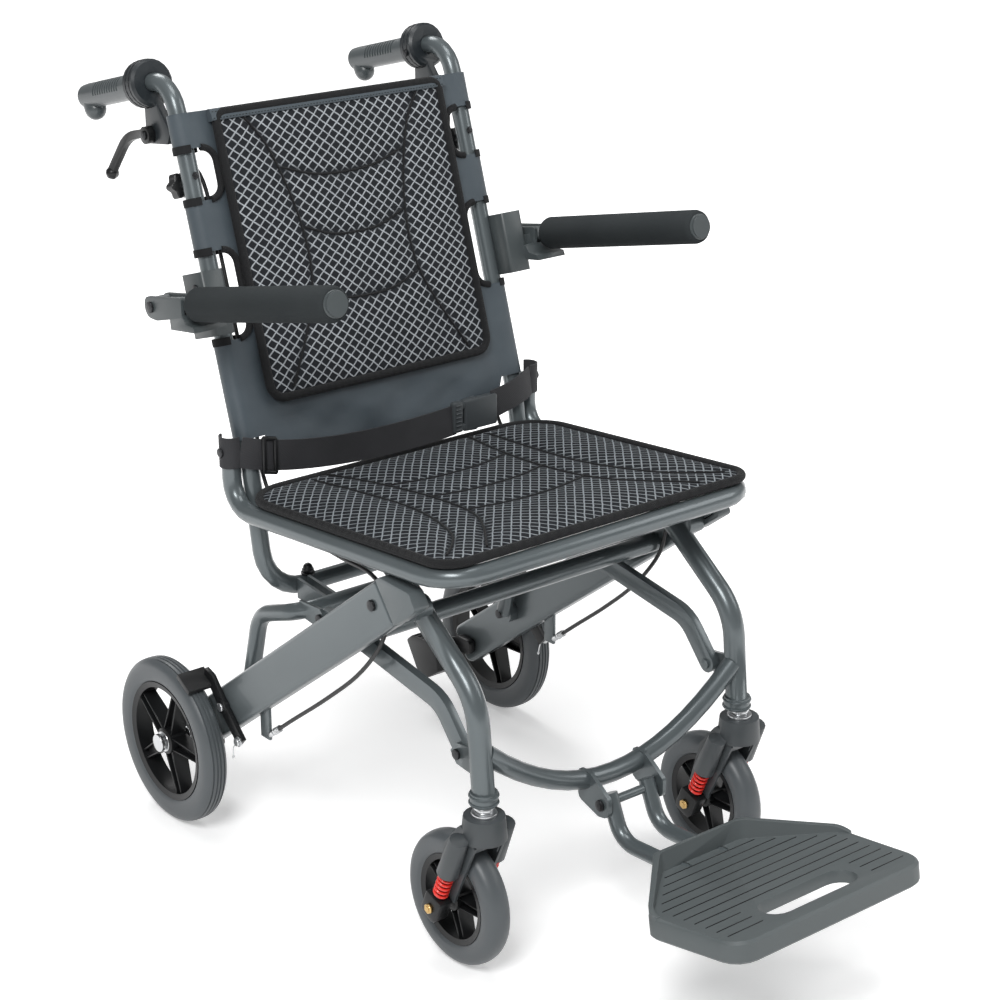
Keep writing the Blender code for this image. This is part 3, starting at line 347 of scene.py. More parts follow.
def soften(bm, verts, width, segments=2, angle=40):
    """Rounds the sharp edges of the geometry that these vertices belong to."""
    edges = [e for e in {e for v in verts for e in v.link_edges}
             if len(e.link_faces) == 2 and e.calc_face_angle(0) > radians(angle)]
    bmesh.ops.bevel(bm, geom=edges, offset=width * MM, offset_type="OFFSET", affect="EDGES", segments=segments,
                    profile=0.5, material=-1, clamp_overlap=True)


def soft_rod(bm, start, end, radius, width, sides=24):
    soften(bm, rod(bm, start, end, radius, sides), width)


def ball(bm, centre, radius, squash=(1, 1, 1)):
    place = Matrix.Translation(centre) @ Matrix.Diagonal((*squash, 1))
    bmesh.ops.create_uvsphere(bm, u_segments=16, v_segments=10, radius=radius * MM, matrix=place)


def prism(bm, points, sweep, width=0.0, segments=2):
    """A closed outline of points swept along a vector, with its rims rounded."""
    face = bm.faces.new([bm.verts.new(p) for p in points])
    moved = bmesh.ops.extrude_face_region(bm, geom=[face])["geom"]
    verts = [g for g in moved if isinstance(g, bmesh.types.BMVert)]
    bmesh.ops.translate(bm, verts=verts, vec=sweep)
    if width:
        soften(bm, [*face.verts, *verts], width, segments)


def arc_corners(points, radii, steps):
    """A closed flat outline with its corners turned to arcs; a radius for each corner."""
    out = []
    count = len(points)
    for i, radius in enumerate(radii):
        corner = Vector(points[i])
        back = (Vector(points[i - 1]) - corner).normalized()
        ahead = (Vector(points[(i + 1) % count]) - corner).normalized()
        half = back.angle(ahead) / 2
        middle = corner + (back + ahead).normalized() * (radius / sin(half))
        start, end = corner + back * radius / tan(half) - middle, corner + ahead * radius / tan(half) - middle
        sweep = start.angle(end)
        for k in range(steps + 1):
            t = k / steps
            point = middle + (start * sin((1 - t) * sweep) + end * sin(t * sweep)) / sin(sweep)
            out.append((point.x, point.y))
    return out


def rectangle(x0, y0, x1, y1):
    return [(x0, y0), (x1, y0), (x1, y1), (x0, y1)]


def spun(bm, points, centre, axis, steps, closed=False):
    """A line of points, or a closed section, spun once round."""
    verts = [bm.verts.new(p) for p in points]
    edges = [bm.edges.new(pair) for pair in zip(verts, verts[1:] + verts[:1] if closed else verts[1:])]
    bmesh.ops.spin(bm, geom=verts + edges, cent=centre, axis=axis, angle=2 * pi, steps=steps, use_merge=True)


def lathe(bm, profile, centre, steps):
    """A closed section of (radius, offset along X) spun about the axle line."""
    spun(bm, [centre + Vector((x, 0, r)) * MM for r, x in profile], centre, (1, 0, 0), steps, True)


def circle(count):
    return [2 * pi * k / count for k in range(count)]


def smooth_route(points, steps):
    """A curve through every point."""
    points = [Vector(p) for p in points]
    out = []
    for i in range(len(points) - 1):
        a, b = points[max(i - 1, 0)], points[i]
        c, d = points[i + 1], points[min(i + 2, len(points) - 1)]
        for k in range(steps):
            t = k / steps
            out.append(0.5 * (2 * b + (c - a) * t + (2 * a - 5 * b + 4 * c - d) * t ** 2
                              + (3 * b - a - 3 * c + d) * t ** 3))
    return out + [points[-1]]


def tube(bm, points, radius, sides, closed=False):
    curve = put(bpy.data.curves.new("route", "CURVE"), dimensions="3D", bevel_depth=radius * MM,
                bevel_resolution=(sides - 4) // 2, use_fill_caps=not closed)
    spline = curve.splines.new("POLY")
    spline.points.add(len(points) - 1)
    spline.use_cyclic_u = closed
    for place, point in zip(spline.points, points):
        place.co = (*point, 1)
    guide = linked("route", curve)
    bm.from_mesh(evaluated(guide))
    bpy.data.objects.remove(guide, do_unlink=True)


def screw_head(bm, centre, out, radius, height):
    """A round socket screw: domed rim and a hexagon hole."""
    out = out.normalized()
    soft_rod(bm, off(centre, out, -0.5), off(centre, out, height), radius, 1.2, 18)
    rod(bm, off(centre, out, height - 0.2), off(centre, out, height + 0.15), radius * 0.45, 6)


def hex_nut(bm, centre, out, radius, height):
    soften(bm, rod(bm, centre, off(centre, out.normalized(), height), radius, 6), radius * 0.12, 1)


def screws(name, body, *heads):
    bm = solid()
    for head in heads:
        screw_head(bm, *head)
    keep(name, bm, dark_bolt, body, "zinc")


# CAD pieces that keep their shape: a merged copy with smooth shading


def finish(name, look, body, slot, width=0.0, mesh=None):
    bm = solid()
    bm.from_mesh(mesh or NODES[name].data)
    bmesh.ops.remove_doubles(bm, verts=bm.verts, dist=2e-6)
    bmesh.ops.dissolve_limit(bm, angle_limit=radians(0.5), verts=bm.verts, edges=bm.edges)
    if width:
        soften(bm, bm.verts, width, 2, 50)
    made = name + "_finish"
    keep_mesh(made, to_mesh(made, bm, False), look, body, slot, name, 40)


def cut_out(item, shapes):
    """The item's mesh with these closed shapes taken out of it; the item itself goes."""
    used = [item]
    for bm in shapes:
        used.append(linked("cutter", to_mesh("cutter", bm)))
        put(item.modifiers.new("cut", "BOOLEAN"), operation="DIFFERENCE", solver="EXACT", object=used[-1])
    mesh = evaluated(item)
    for done in used:
        bpy.data.objects.remove(done, do_unlink=True)
    return mesh


SINGLE_COPIES = (("seat_frame", "chassis"), ("lower_cross_bar", "chassis"), ("rear_cross_tube", "rear_legs"),
                 ("rear_loop", "loop"), ("back_frame", "back"), ("footrest_tubes", "footrest"))
# Name, look, body, slot and rounding; the name, and a body that ends in _, take the side's word
PAIRED_COPIES = (
    ("front_leg_", frame_paint, "chassis", "frame_paint", 0),
    ("brace_", frame_paint, "braces", "frame_paint", 1.2),
    ("rear_leg_cap_", cap_moulding, "rear_legs", "grey_plastic", 1.5),
    ("rear_axle_", bright_zinc, "rear_legs", "zinc", 0.8),
    ("brake_arm_", black_moulding, "brake_arm_", "black_plastic", 0.8),
    ("arm_bracket_", grey_moulding, "back", "grey_plastic", 1.2),
    ("arm_tube_", grey_moulding, "armrest_", "grey_plastic", 0),
    ("caster_fork_", fork_moulding, "caster_", "grey_plastic", 1.5),
    ("caster_axle_", black_moulding, "caster_carriage_", "black_plastic", 1.0),
    ("star_knob_", black_moulding, "star_knob_", "black_plastic", 0.6),
    ("brake_lever_", black_moulding, "brake_lever_", "black_plastic", 1.2),
    ("brake_housing_", housing_moulding, "back", "black_plastic", 1.2))


def frame_metal():
    for name, body in SINGLE_COPIES:
        finish(name, frame_paint, body, "frame_paint")
    for word, _ in SIDES:
        for name, look, body, slot, width in PAIRED_COPIES:
            finish(name + word, look, body + word if body.endswith("_") else body, slot, width)


def on_leg(along, across):
    """(y, z) by the distance up the rear leg from the axle and across it."""
    return (across * sin(LEG_SLOPE) - along * cos(LEG_SLOPE),
            REAR_WHEEL_R + along * sin(LEG_SLOPE) + across * cos(LEG_SLOPE))


def rear_leg(word, side):
    """A flat oval leg, the strap that holds the cable, and the ribbed pedal behind the axle."""
    leg = solid()
    sweep = Vector((side * 20 * MM, 0, 0))
    main = arc_corners([on_leg(-24, -26), on_leg(-24, 26), on_leg(502, 26), on_leg(502, -26)], [12, 12, 5, 5], 6)
    prism(leg, [at(side * 205.3, *p) for p in main], sweep, 4.2, 4)
    tongue = [on_leg(496, 19), on_leg(514, 19), on_leg(538, -4), on_leg(538, -19), on_leg(496, -19)]
    prism(leg, [at(side * 205.8, *p) for p in tongue], sweep * 0.32, 0.6)
    strap = [(-161, 205), (-143, 200), (-143, 150), (-161, 150)]
    prism(leg, [at(side * 212, *p) for p in strap], sweep * 0.2, 0.6)
    keep("rear_leg_tube_" + word, leg, frame_paint, "rear_legs", "frame_paint", "rear_leg_" + word)
    pedal = solid()
    tread = arc_corners([(84, 86), (72, 96), (22, 100), (16, 62), (38, 46), (62, 50)], [4, 8, 6, 6, 6, 6], 3)
    prism(pedal, [at(side * 165, *p) for p in tread], sweep * 1.5, 1.6)
    stay = arc_corners([(-14, 88), (-14, 108), (10, 108), (34, 98), (34, 78), (8, 86)], [6] * 6, 3)
    prism(pedal, [at(side * 194, *p) for p in stay], sweep * 0.53, 1.4)
    for y in range(28, 76, 8):
        z = 99.8 - 0.08 * (y - 22)
        soft_rod(pedal, at(side * 167, y, z), at(side * 193, y, z), 1.5, 0.4, 8)
    keep("tip_pedal_tread_" + word, pedal, black_moulding, "rear_legs", "black_plastic", "tip_pedal_" + word)


# Padded net panels


def seam_distance(x, y, seams):
    best = 1e9
    for line in seams:
        for (ax, ay), (bx, by) in zip(line, line[1:]):
            dx, dy = bx - ax, by - ay
            t = max(0.0, min(1.0, ((x - ax) * dx + (y - ay) * dy) / (dx * dx + dy * dy)))
            best = min(best, hypot(x - ax - t * dx, y - ay - t * dy))
    return best


def curve_line(points):
    return [(p.x, p.y) for p in smooth_route([(x, y, 0) for x, y in points], 6)]


def curve_pair(points):
    return [curve_line([(s * x, y) for x, y in points]) for s in (1, -1)]


def edge_distance(x, y, box):
    x0, y0, x1, y1 = box
    return min(x - x0, x1 - x, y - y0, y1 - y)


def puffed_panel(name, outline, thick, place, seams, box, rise, look, body, stands_for):
    """A closed pad that swells between its sewn lines: cloth under pressure, pinned where it is stitched."""
    bm = solid()
    flat = [Vector((x * MM, y * MM, 0)) for x, y in outline]
    prism(bm, flat, Vector((0, 0, thick * MM)))
    pad = linked(name, to_mesh(name, bm))
    put(pad.modifiers.new("voxels", "REMESH"), mode="VOXEL", voxel_size=0.0048)
    mesh = evaluated(pad)
    pad.modifiers.clear()
    pad.data = mesh
    rest = [v.co.copy() for v in mesh.vertices]
    away = [seam_distance(p.x / MM, p.y / MM, seams) for p in rest]
    pinned = pad.vertex_groups.new(name="sewn")
    still = [i for i, p in enumerate(rest) if away[i] < 3.2 or p.z < thick * MM * 0.7
             or edge_distance(p.x / MM, p.y / MM, box) < 6]
    pinned.add(still, 1.0, "REPLACE")
    cloth = pad.modifiers.new("filling", "CLOTH")
    put(cloth.settings, quality=4, mass=0.15, tension_stiffness=12, compression_stiffness=12, shear_stiffness=6,
        bending_stiffness=0.4, use_pressure=True, uniform_pressure_force=4.0, vertex_group_mass="sewn")
    cloth.settings.effector_weights.gravity = 0
    cloth.collision_settings.use_collision = False
    scene = bpy.context.scene
    for step in range(1, 17):
        scene.frame_set(step)
    mesh = evaluated(pad)
    scene.frame_set(1)
    pad.modifiers.clear()
    pad.data = mesh
    # A mark along the seams that the net material darkens by: painted shade in the seam creases.
    seam_shade_values = mesh.attributes.new("seam_painted_shade", "FLOAT", "POINT")
    for vert, start, gap in zip(mesh.vertices, rest, away):
        moved = vert.co - start
        if moved.length > rise * MM:
            moved *= rise * MM / moved.length
        vert.co = start + moved
        border = edge_distance(start.x / MM, start.y / MM, box)
        if start.z > thick * MM * 0.5:
            crown = 1 - exp(-max(border, 0) / 16)
            vert.co.z -= 1.8 * MM * exp(-(gap / 4.4) ** 2)
            vert.co.z -= 2.5 * MM * (1 - crown)
        seam_shade_values.data[vert.index].value = exp(-(gap / 3.6) ** 4)
    lay_uv(mesh, [(p.x, p.y) for p in rest])
    for vert in mesh.vertices:
        vert.co = place(vert.co.x / MM, vert.co.y / MM, vert.co.z / MM)
    bpy.data.objects.remove(pad, do_unlink=True)
    threads = solid()
    for line in seams:
        tube(threads, [place(x, y, thick - 1.1) for x, y in line if edge_distance(x, y, box) > 4], 1.3, 8)
    keep_cloth(name + "_seams", threads, black_binding, body, 0)
    made = keep_mesh(name, mesh, look, body, "net_fabric", stands_for, 0)
    put(made.modifiers.new("smooth", "SUBSURF"), levels=1, render_levels=1)
    return made


def binding(name, outline, place, radius, height, body):
    """The bound edge of a panel: a rolled tape along its outline."""
    bm = solid()
    tube(bm, [place(x, y, height) for x, y in outline], radius, 12, True)
    keep_cloth(name, bm, black_binding, body, 0)


def keep_cloth(name, bm, look, body, crease=38, stands_for=None, slot="webbing"):
    mesh = to_mesh(name, bm)
    lay_uv(mesh)
    return keep_mesh(name, mesh, look, body, slot, stands_for, crease)


def lay_uv(mesh, places=None):
    """Flat cloth coordinates, by vertex: across the chair and along the rest of the shape, unless given."""
    places = places or [(v.co.x, v.co.y + v.co.z) for v in mesh.vertices]
    layer = mesh.uv_layers.new(name="cloth")
    for loop in mesh.loops:
        layer.data[loop.index].uv = places[loop.vertex_index]


def stitches(name, start, end, out, body):
    """A straight sewn line of small thread humps."""
    bm = solid()
    step = end - start
    turn = step.to_track_quat("X", "Z").to_matrix().to_4x4() @ Matrix.Diagonal((1.5, 0.45, 0.45, 1))
    for k in range(int(step.length / (STITCH_PITCH * MM)) + 1):
        middle = off(off(start, step.normalized(), STITCH_PITCH * k), out, 0.25)
        bmesh.ops.create_icosphere(bm, subdivisions=1, radius=1.0 * MM, matrix=Matrix.Translation(middle) @ turn)
    keep(name, bm, black_binding, body, "webbing", None, 0)


def seat_pad():
    half, rear, front = 215.5, SEAT_REAR_Y - 17, -494
    outline = arc_corners([(-half, rear), (-half, front), (half, front), (half, rear)], [54, 30, 30, 54], 9)
    base = 11 / cos(SEAT_TILT) + 1.2

    def place(x, y, h):
        return at(x, y, rail_z(y) + base + h)

    seams = curve_pair([(-104, -130), (-88, -205), (-80, -300), (-92, -390), (-150, -478)])
    for y, dip in ((-222, 12), (-292, 12), (-362, 10)):
        seams.append(curve_line([(-82, y), (-40, y - dip), (0, y - dip - 3), (40, y - dip), (82, y)]))
    seams += curve_pair([(128, -140), (120, -240), (122, -330), (150, -420), (196, -470)])
    pad = puffed_panel("seat_pad", outline, 9, place, seams, (-half, front, half, rear), 5, seat_net, "chassis",
                       "seat_cushion")
    binding("seat_pad_binding", outline, place, 5.2, 4.5, "chassis")


def back_pad():
    half = 156
    low, high = up_cane(530), up_cane(840.5)
    outline = arc_corners(rectangle(-half, low, half, high), [18, 18, 12, 12], 7)

    def place(x, y, h):
        return on_back(x, y, 11.6 + h)

    middle = (low + high) / 2
    seams = curve_pair([(-122, high - 8), (-95, middle + 110), (-73, middle + 20), (-79, middle - 60),
                        (-126, low + 10)])
    for y, wide in ((middle + 82, 84), (middle + 12, 70), (middle - 62, 74)):
        seams.append(curve_line([(-wide, y + 9), (-wide * 0.5, y - 4), (0, y - 7), (wide * 0.5, y - 4), (wide, y + 9)]))
    pad = puffed_panel("back_panel", outline, 7, place, seams, (-half, low, half, high), 4.5, back_net, "back",
                       "back_pad")
    binding("back_panel_binding", outline, place, 5.2, 3.8, "back")
    top = up_cane(SLEEVE_TOP)
    fold = arc_corners([(9.8, top - 14), (20.4, top - 14), (17.6, top), (10.4, top)], [2, 1.5, 3, 3], 3)
    tape = solid()
    prism(tape, [on_back(-163, u, f) for f, u in fold], Vector((326 * MM, 0, 0)))
    bmesh.ops.subdivide_edges(tape, edges=[e for e in tape.edges if e.calc_length() > 0.3], cuts=40)
    keep_cloth("back_top_tape", tape, slate_nylon, "back", slot="nylon")
    for u, front in ((top - 11.5, 20.0), (top - 4, 18.4)):
        stitches(f"back_tape_stitches_{int(u)}", on_back(-160, u, front), on_back(160, u, front), AHEAD / MM, "back")


# Sling with sleeves over the canes

# Label, lower and upper height of each opening beside the canes
WINDOWS = (("upper", 751.8, 807.4), ("lower", 602, 698))
WINDOW_DEPTH = 31


def sleeve_arc(radius, count):
    """(x, front) round the left cane, open towards the panel."""
    turns = [radians(165 + 285 * k / count) for k in range(count + 1)]
    return [(CANE_X + radius * cos(a), radius * sin(a)) for a in turns]


def sling():
    low, high, flap = up_cane(495), up_cane(SLEEVE_TOP), up_cane(452)
    radius = CANE_R + 1.9
    section = sleeve_arc(radius, 12)
    for x in (182, 172, *range(160, -1, -8)):
        section.append((x, 8.2 + 4.0 * max(0, (x - 165) / 28)))
    whole = section + [(-x, v) for x, v in section[-2::-1]]
    rows = 40
    bm = solid()
    verts = [bm.verts.new(on_back(x, low, v)) for x, v in whole]
    edges = [bm.edges.new(pair) for pair in zip(verts, verts[1:])]
    step = (on_back(0, high, 0) - on_back(0, low, 0)) / rows

    def grow(edges, way):
        moved = bmesh.ops.extrude_edge_only(bm, edges=edges)["geom"]
        fresh = [g for g in moved if isinstance(g, bmesh.types.BMVert)]
        bmesh.ops.translate(bm, verts=fresh, vec=way)
        return [g for g in moved if isinstance(g, bmesh.types.BMEdge) and all(v in moved for v in g.verts)], fresh

    for _ in range(rows):
        edges, _ = grow(edges, step)
    bottom = [e for e in bm.edges if e.is_boundary and all(
        abs((v.co - on_back(v.co.x / MM, low, 0)).dot(step.normalized())) < 1e-5 and abs(v.co.x) < 0.1725
        for v in e.verts)]
    for k in range(3):
        bottom, fresh = grow(bottom, (on_back(0, flap, 0) - on_back(0, low, 0)) / 3)
        bmesh.ops.scale(bm, verts=fresh, vec=((172 - 7.3 * (k + 1)) / (172 - 7.3 * k), 1, 1))
    for vert in bm.verts:
        along = (vert.co - on_back(vert.co.x / MM, 0, 0)).dot(step.normalized()) / MM
        x = vert.co.x / MM
        if abs(x) < 170 and along < up_cane(528):
            ripple = 2.4 * sin(x / 27 + along / 15) + 1.5 * sin(x / 13 - along / 10) + 0.7 * sin(x / 8 + along / 6)
            loose = min(1, (up_cane(528) - along) / 22) * min(1, (170 - abs(x)) / 40)
            vert.co += AHEAD * ripple * loose
    cloth = linked("cloth", to_mesh("back_sling_cloth", bm))
    put(cloth.modifiers.new("thick", "SOLIDIFY"), thickness=1.4 * MM, offset=0)
    openings = []
    for _, side in SIDES:
        for _, z0, z1 in WINDOWS:
            openings.append(solid())
            prism(openings[-1], [on_back(x, u, -32) for x, u in window(side, z0, z1)], AHEAD * 62)
    mesh = cut_out(cloth, openings)
    lay_uv(mesh)
    made = keep_mesh("back_sling_cloth", mesh, slate_nylon, "back", "nylon", "back_sling", 50)
    for word, side in SIDES:
        for label, z0, z1 in WINDOWS:
            inner = [p for p in window(side, z0, z1) if abs(p[0]) < CANE_X - 4]
            inner.sort(key=lambda p: p[1])
            route = [on_back(x, u, 9.6 + 3.0 * max(0, (abs(x) - 172) / 20)) for x, u in inner]
            bm = solid()
            tube(bm, route, 4.0, 12)
            keep_cloth(f"window_tape_{label}_{word}", bm, black_binding, "back", 0)
            for end, u in (("low", inner[0][1]), ("high", inner[-1][1])):
                ring = [on_back(side * x, u, v) for x, v in sleeve_arc(radius + 1.1, 24)]
                bm = solid()
                ribbon(bm, ring, 9, 1.2, up=step.normalized())
                keep_cloth(f"window_cuff_{label}_{end}_{word}", bm, black_binding, "back")


def window(side, z0, z1):
    low, high = up_cane(z0), up_cane(z1)
    inner, outer = side * (CANE_X - WINDOW_DEPTH), side * (CANE_X + 24)
    return arc_corners(rectangle(inner, low, outer, high), [17, 1, 1, 17], 6)


# Lap belt


def four_sided(bm, points):
    verts = [bm.verts.new(p) for p in points]
    return verts, [bm.edges.new((verts[k], verts[(k + 1) % 4])) for k in range(4)]


def ribbon(bm, route, wide, thick, lean=0.0, up=UP):
    """Flat webbing on edge along a route; its width sways to and fro by the lean."""
    rings = []
    for i, point in enumerate(route):
        ahead = (route[min(i + 1, len(route) - 1)] - route[max(i - 1, 0)]).normalized()
        tall = Matrix.Rotation(lean * sin(5 * (i / (len(route) - 1))), 3, ahead) @ up
        tall = (tall - ahead * tall.dot(ahead)).normalized()
        out = ahead.cross(tall)
        rings.append(four_sided(bm, [point + tall * a * wide / 2 * MM + out * b * thick / 2 * MM
                                     for a, b in ((-1, -1), (-1, 1), (1, 1), (1, -1))]))
    for (_, a), (_, b) in zip(rings, rings[1:]):
        bmesh.ops.bridge_loops(bm, edges=a + b)
    for verts, _ in (rings[0], rings[-1]):
        bm.faces.new(verts)


def belt_point(x):
    end = abs(x) / BELT_REACH
    return at(x, BELT_Y + (SEAT_REAR_Y - 11.8 - BELT_Y) * end ** 10, 463 + 25 * end ** 2.2)


def lap_belt():
    for name, x0, x1, node, side in (("belt_long", -BELT_REACH, BUCKLE[0] + 4, "seat_belt_right", -1),
                                     ("belt_short", BUCKLE[1] - 4, BELT_REACH, "seat_belt_left", 1)):
        bm = solid()
        ribbon(bm, [belt_point(x0 + (x1 - x0) * i / 40) for i in range(41)], BELT_WIDE, 2.0, 0.06)
        made = keep_cloth(name, bm, belt_webbing, None, 30, node)
        tuple(belt_point(side * BELT_REACH))
        tuple(belt_point(side * (BELT_REACH - 13)))
        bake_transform(made)
    for word, side in SIDES:
        wrap = solid()
        middle = at(side * 215.5, SEAT_REAR_Y, 488)
        turns = [radians(10 * k - 20) for k in range(19)]
        ribbon(wrap, [middle + Vector((side * sin(a), -cos(a), 0)) * 12.2 * MM for a in turns], BELT_WIDE, 2.0)
        keep_cloth("belt_wrap_" + word, wrap, belt_webbing, "chassis", 30)
    glide = solid()
    for x0, x1, z0, z1 in ((-186, -186, -21, 21), (-172, -172, -21, 21), (-187, -171, -20, -20), (-187, -171, 20, 20)):
        a, b = (belt_point(x) + Vector((0, -2.2, z)) * MM for x, z in ((x0, z0), (x1, z1)))
        soft_rod(glide, a, b, 2.6, 0.8, 12)
    keep("belt_slider", glide, black_moulding, "back", "black_plastic")
    belt_clasp()


def belt_clasp():
    """Side-release buckle: socket, two sprung wings, and the ribbed plug on the long strap."""
    bm = solid()
    left, right = BUCKLE
    middle = (left + right) / 2

    def plate(outline, radius, front, back, width):
        prism(bm, [at(x, BELT_Y - front, BUCKLE_Z + z) for x, z in arc_corners(outline, [radius] * 4, 3)],
              Vector((0, (front + back) * MM, 0)), width)

    plate(rectangle(left + 17, -19, right, 19), 3, 4.6, 4.8, 1.6)
    for s in (-1, 1):
        plate([(left + 9, s * 9), (middle + 6, s * 12), (middle + 2, s * 20.5), (left + 16, s * 19)], 2, 3.8, 3.8, 1.2)
    plate(rectangle(left, -19, left + 14, 19), 3, 4.1, 4.1, 1.4)
    for z in range(-15, 18, 5):
        rod(bm, *(at(left + x, BELT_Y - 4.3, BUCKLE_Z + z) for x in (3, 11)), 1.0, 8)
    keep("belt_clasp", bm, fork_moulding, "back", "black_plastic", "belt_buckle")


# Wheels


# (radius, distance from the wheel's middle), from the bead to the crown
REAR_TREAD = ((74, 11.8), (77.5, 13.8), (80, 14.4), (86.5, 15), (92.5, 14.7), (96.9, 12.8), (99.5, 10.2), (100.6, 8.4),
              (99.4, 7.8), (99.5, 7.0), (101.1, 6.4), (101.4, 3.4), (100, 2.7), (100.1, 1.8), (101.5, 1.1))
CASTER_TREAD = ((52, 12), (55, 14.1), (57, 14.7), (64, 15.3), (69, 13.9), (72.6, 11.1), (74.7, 7.7), (75.7, 4),
                (76, 0.7))
# Half of each closed section; the other half mirrors it
REAR_RIM = ((66.5, 11), (73.6, 12.8), (73.6, 9.5), (71, 7.5), (69.2, 2))
CASTER_RIM = ((45, 11), (51.6, 12.4), (51.6, 9), (49, 6), (47.5, 2))
REAR_BOSS = ((6.4, 14), (13, 14), (16, 12), (16.5, 6))
CASTER_BOSS = ((4.5, 14), (10, 14), (12.5, 12))


def both_sides(half):
    return [(half[0][0], -half[0][1]), *half, *((r, -x) for r, x in half[:0:-1])]


def wheel(kind, word, centre, tread, rim, boss, spoke, steps, crease):
    body = f"{kind}_wheel_{word}"
    tyre = solid()
    lathe(tyre, [(r, -x) for r, x in tread] + [*tread[::-1]], centre, steps[0])
    keep(f"{kind}_tyre_tread_{word}", tyre, tyre_rubber, body, "tyre_rubber", f"{kind}_tyre_{word}", crease)
    hub = solid()
    lathe(hub, both_sides(rim), centre, steps[1])
    lathe(hub, both_sides(boss), centre, steps[2])
    spokes(hub, centre, *spoke)
    keep(f"{kind}_hub_casting_{word}", hub, black_moulding, body, "black_plastic", f"{kind}_hub_{word}")


def wheels(word, side):
    centre = at(side * REAR_WHEEL_X, 0, REAR_WHEEL_R)
    wheel("rear", word, centre, REAR_TREAD, REAR_RIM, REAR_BOSS,
          (14, 68, (8.4, 6.2), (10.5, 8.5), 2.2), (96, 80, 48), 30)
    disc = solid()
    lathe(disc, [(r, side * x) for r, x in ((6.2, 14.2), (6.2, 15), (12.4, 14.8), (12.8, 14.2))], centre, 48)
    keep("rear_hub_disc_" + word, disc, bright_zinc, "rear_wheel_" + word, "zinc")
    wheel("caster", word, at(side * CASTER_X, CASTER_Y, CASTER_R), CASTER_TREAD, CASTER_RIM, CASTER_BOSS,
          (10.5, 47, (6.4, 4.8), (10, 8.5), 1.8), (88, 72, 40), 35)


def spokes(bm, centre, root, tip, widths, depths, flange):
    """Five spokes with an I section: a thin web between two ribs."""
    a, b = widths
    blocks = [(s * a, s * b, s * (b - flange), s * (a - flange), *depths) for s in (-1, 1)]
    blocks.append((1 - a, 1 - b, b - 1, a - 1, 2.5, 2.5))
    for i in range(5):
        turn = Matrix.Translation(centre) @ Matrix.Rotation(2 * pi * i / 5 + radians(18), 4, "X")
        for w0, w1, w2, w3, deep, thin in blocks:
            corners = ((root, w0, deep), (tip, w1, thin), (tip, w2, thin), (root, w3, deep))
            bridged(bm, *([turn @ (Vector((s * x, w, r)) * MM) for r, w, x in corners] for s in (-1, 1)))


def bridged(bm, low, high):
    """A small block between two four-sided outlines."""
    (near, near_edges), (far, far_edges) = four_sided(bm, low), four_sided(bm, high)
    bmesh.ops.bridge_loops(bm, edges=near_edges + far_edges)
    bm.faces.new(near)
    bm.faces.new(far)
    soften(bm, near + far, 0.7, 1)


def caster_suspension(word, side):
    rake = radians(23)
    rise = Vector((0, -sin(rake), cos(rake)))
    back = Vector((0, cos(rake), sin(rake)))
    axle = at(side * CASTER_X, CASTER_Y, CASTER_R)
    bolts = solid()
    turns, per_turn, wire, coil = 5.5, 16, 1.7, 7.4
    seat, cup = 16, 53
    low, high = seat + wire + 0.3, cup - wire - 0.3
    for lateral in (-1, 1):
        offset = lateral * 31.5
        out = Vector((lateral, 0, 0))
        route = []
        for i in range(int(turns * per_turn) + 1):
            t = i / (turns * per_turn)
            a = 2 * pi * turns * t
            route.append(axle + (rise * (low + (high - low) * t) + Vector((offset + coil * sin(a), 0, 0))
                                 + back * coil * cos(a)) * MM)
        place = "outer" if lateral == side else "inner"
        name = f"caster_spring_{place}_{word}"
        bm = solid()
        tube(bm, route, wire, 10)
        spring = keep(name + "_coil", bm, spring_red, "caster_carriage_" + word, "spring_red", name, 0)
        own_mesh(spring)
        face = off(axle, out, 40)
        hex_nut(bolts, face, out, 6.2, 3.6)
        soft_rod(bolts, face, off(face, out, 4.4), 3.2, 0.6, 14)
    keep("caster_axle_bolts_" + word, bolts, brass_bolt, "caster_carriage_" + word, "zinc")
    stem = solid()
    top = at(side * CASTER_X, -517, 196)
    soft_rod(stem, off(top, UP, -4.5), top, 14, 1.0, 28)
    hex_nut(stem, top, UP, 11.5, 6.4)
    keep("caster_stem_nut_" + word, stem, bright_zinc, "caster_" + word, "zinc")


# Handles and armrests


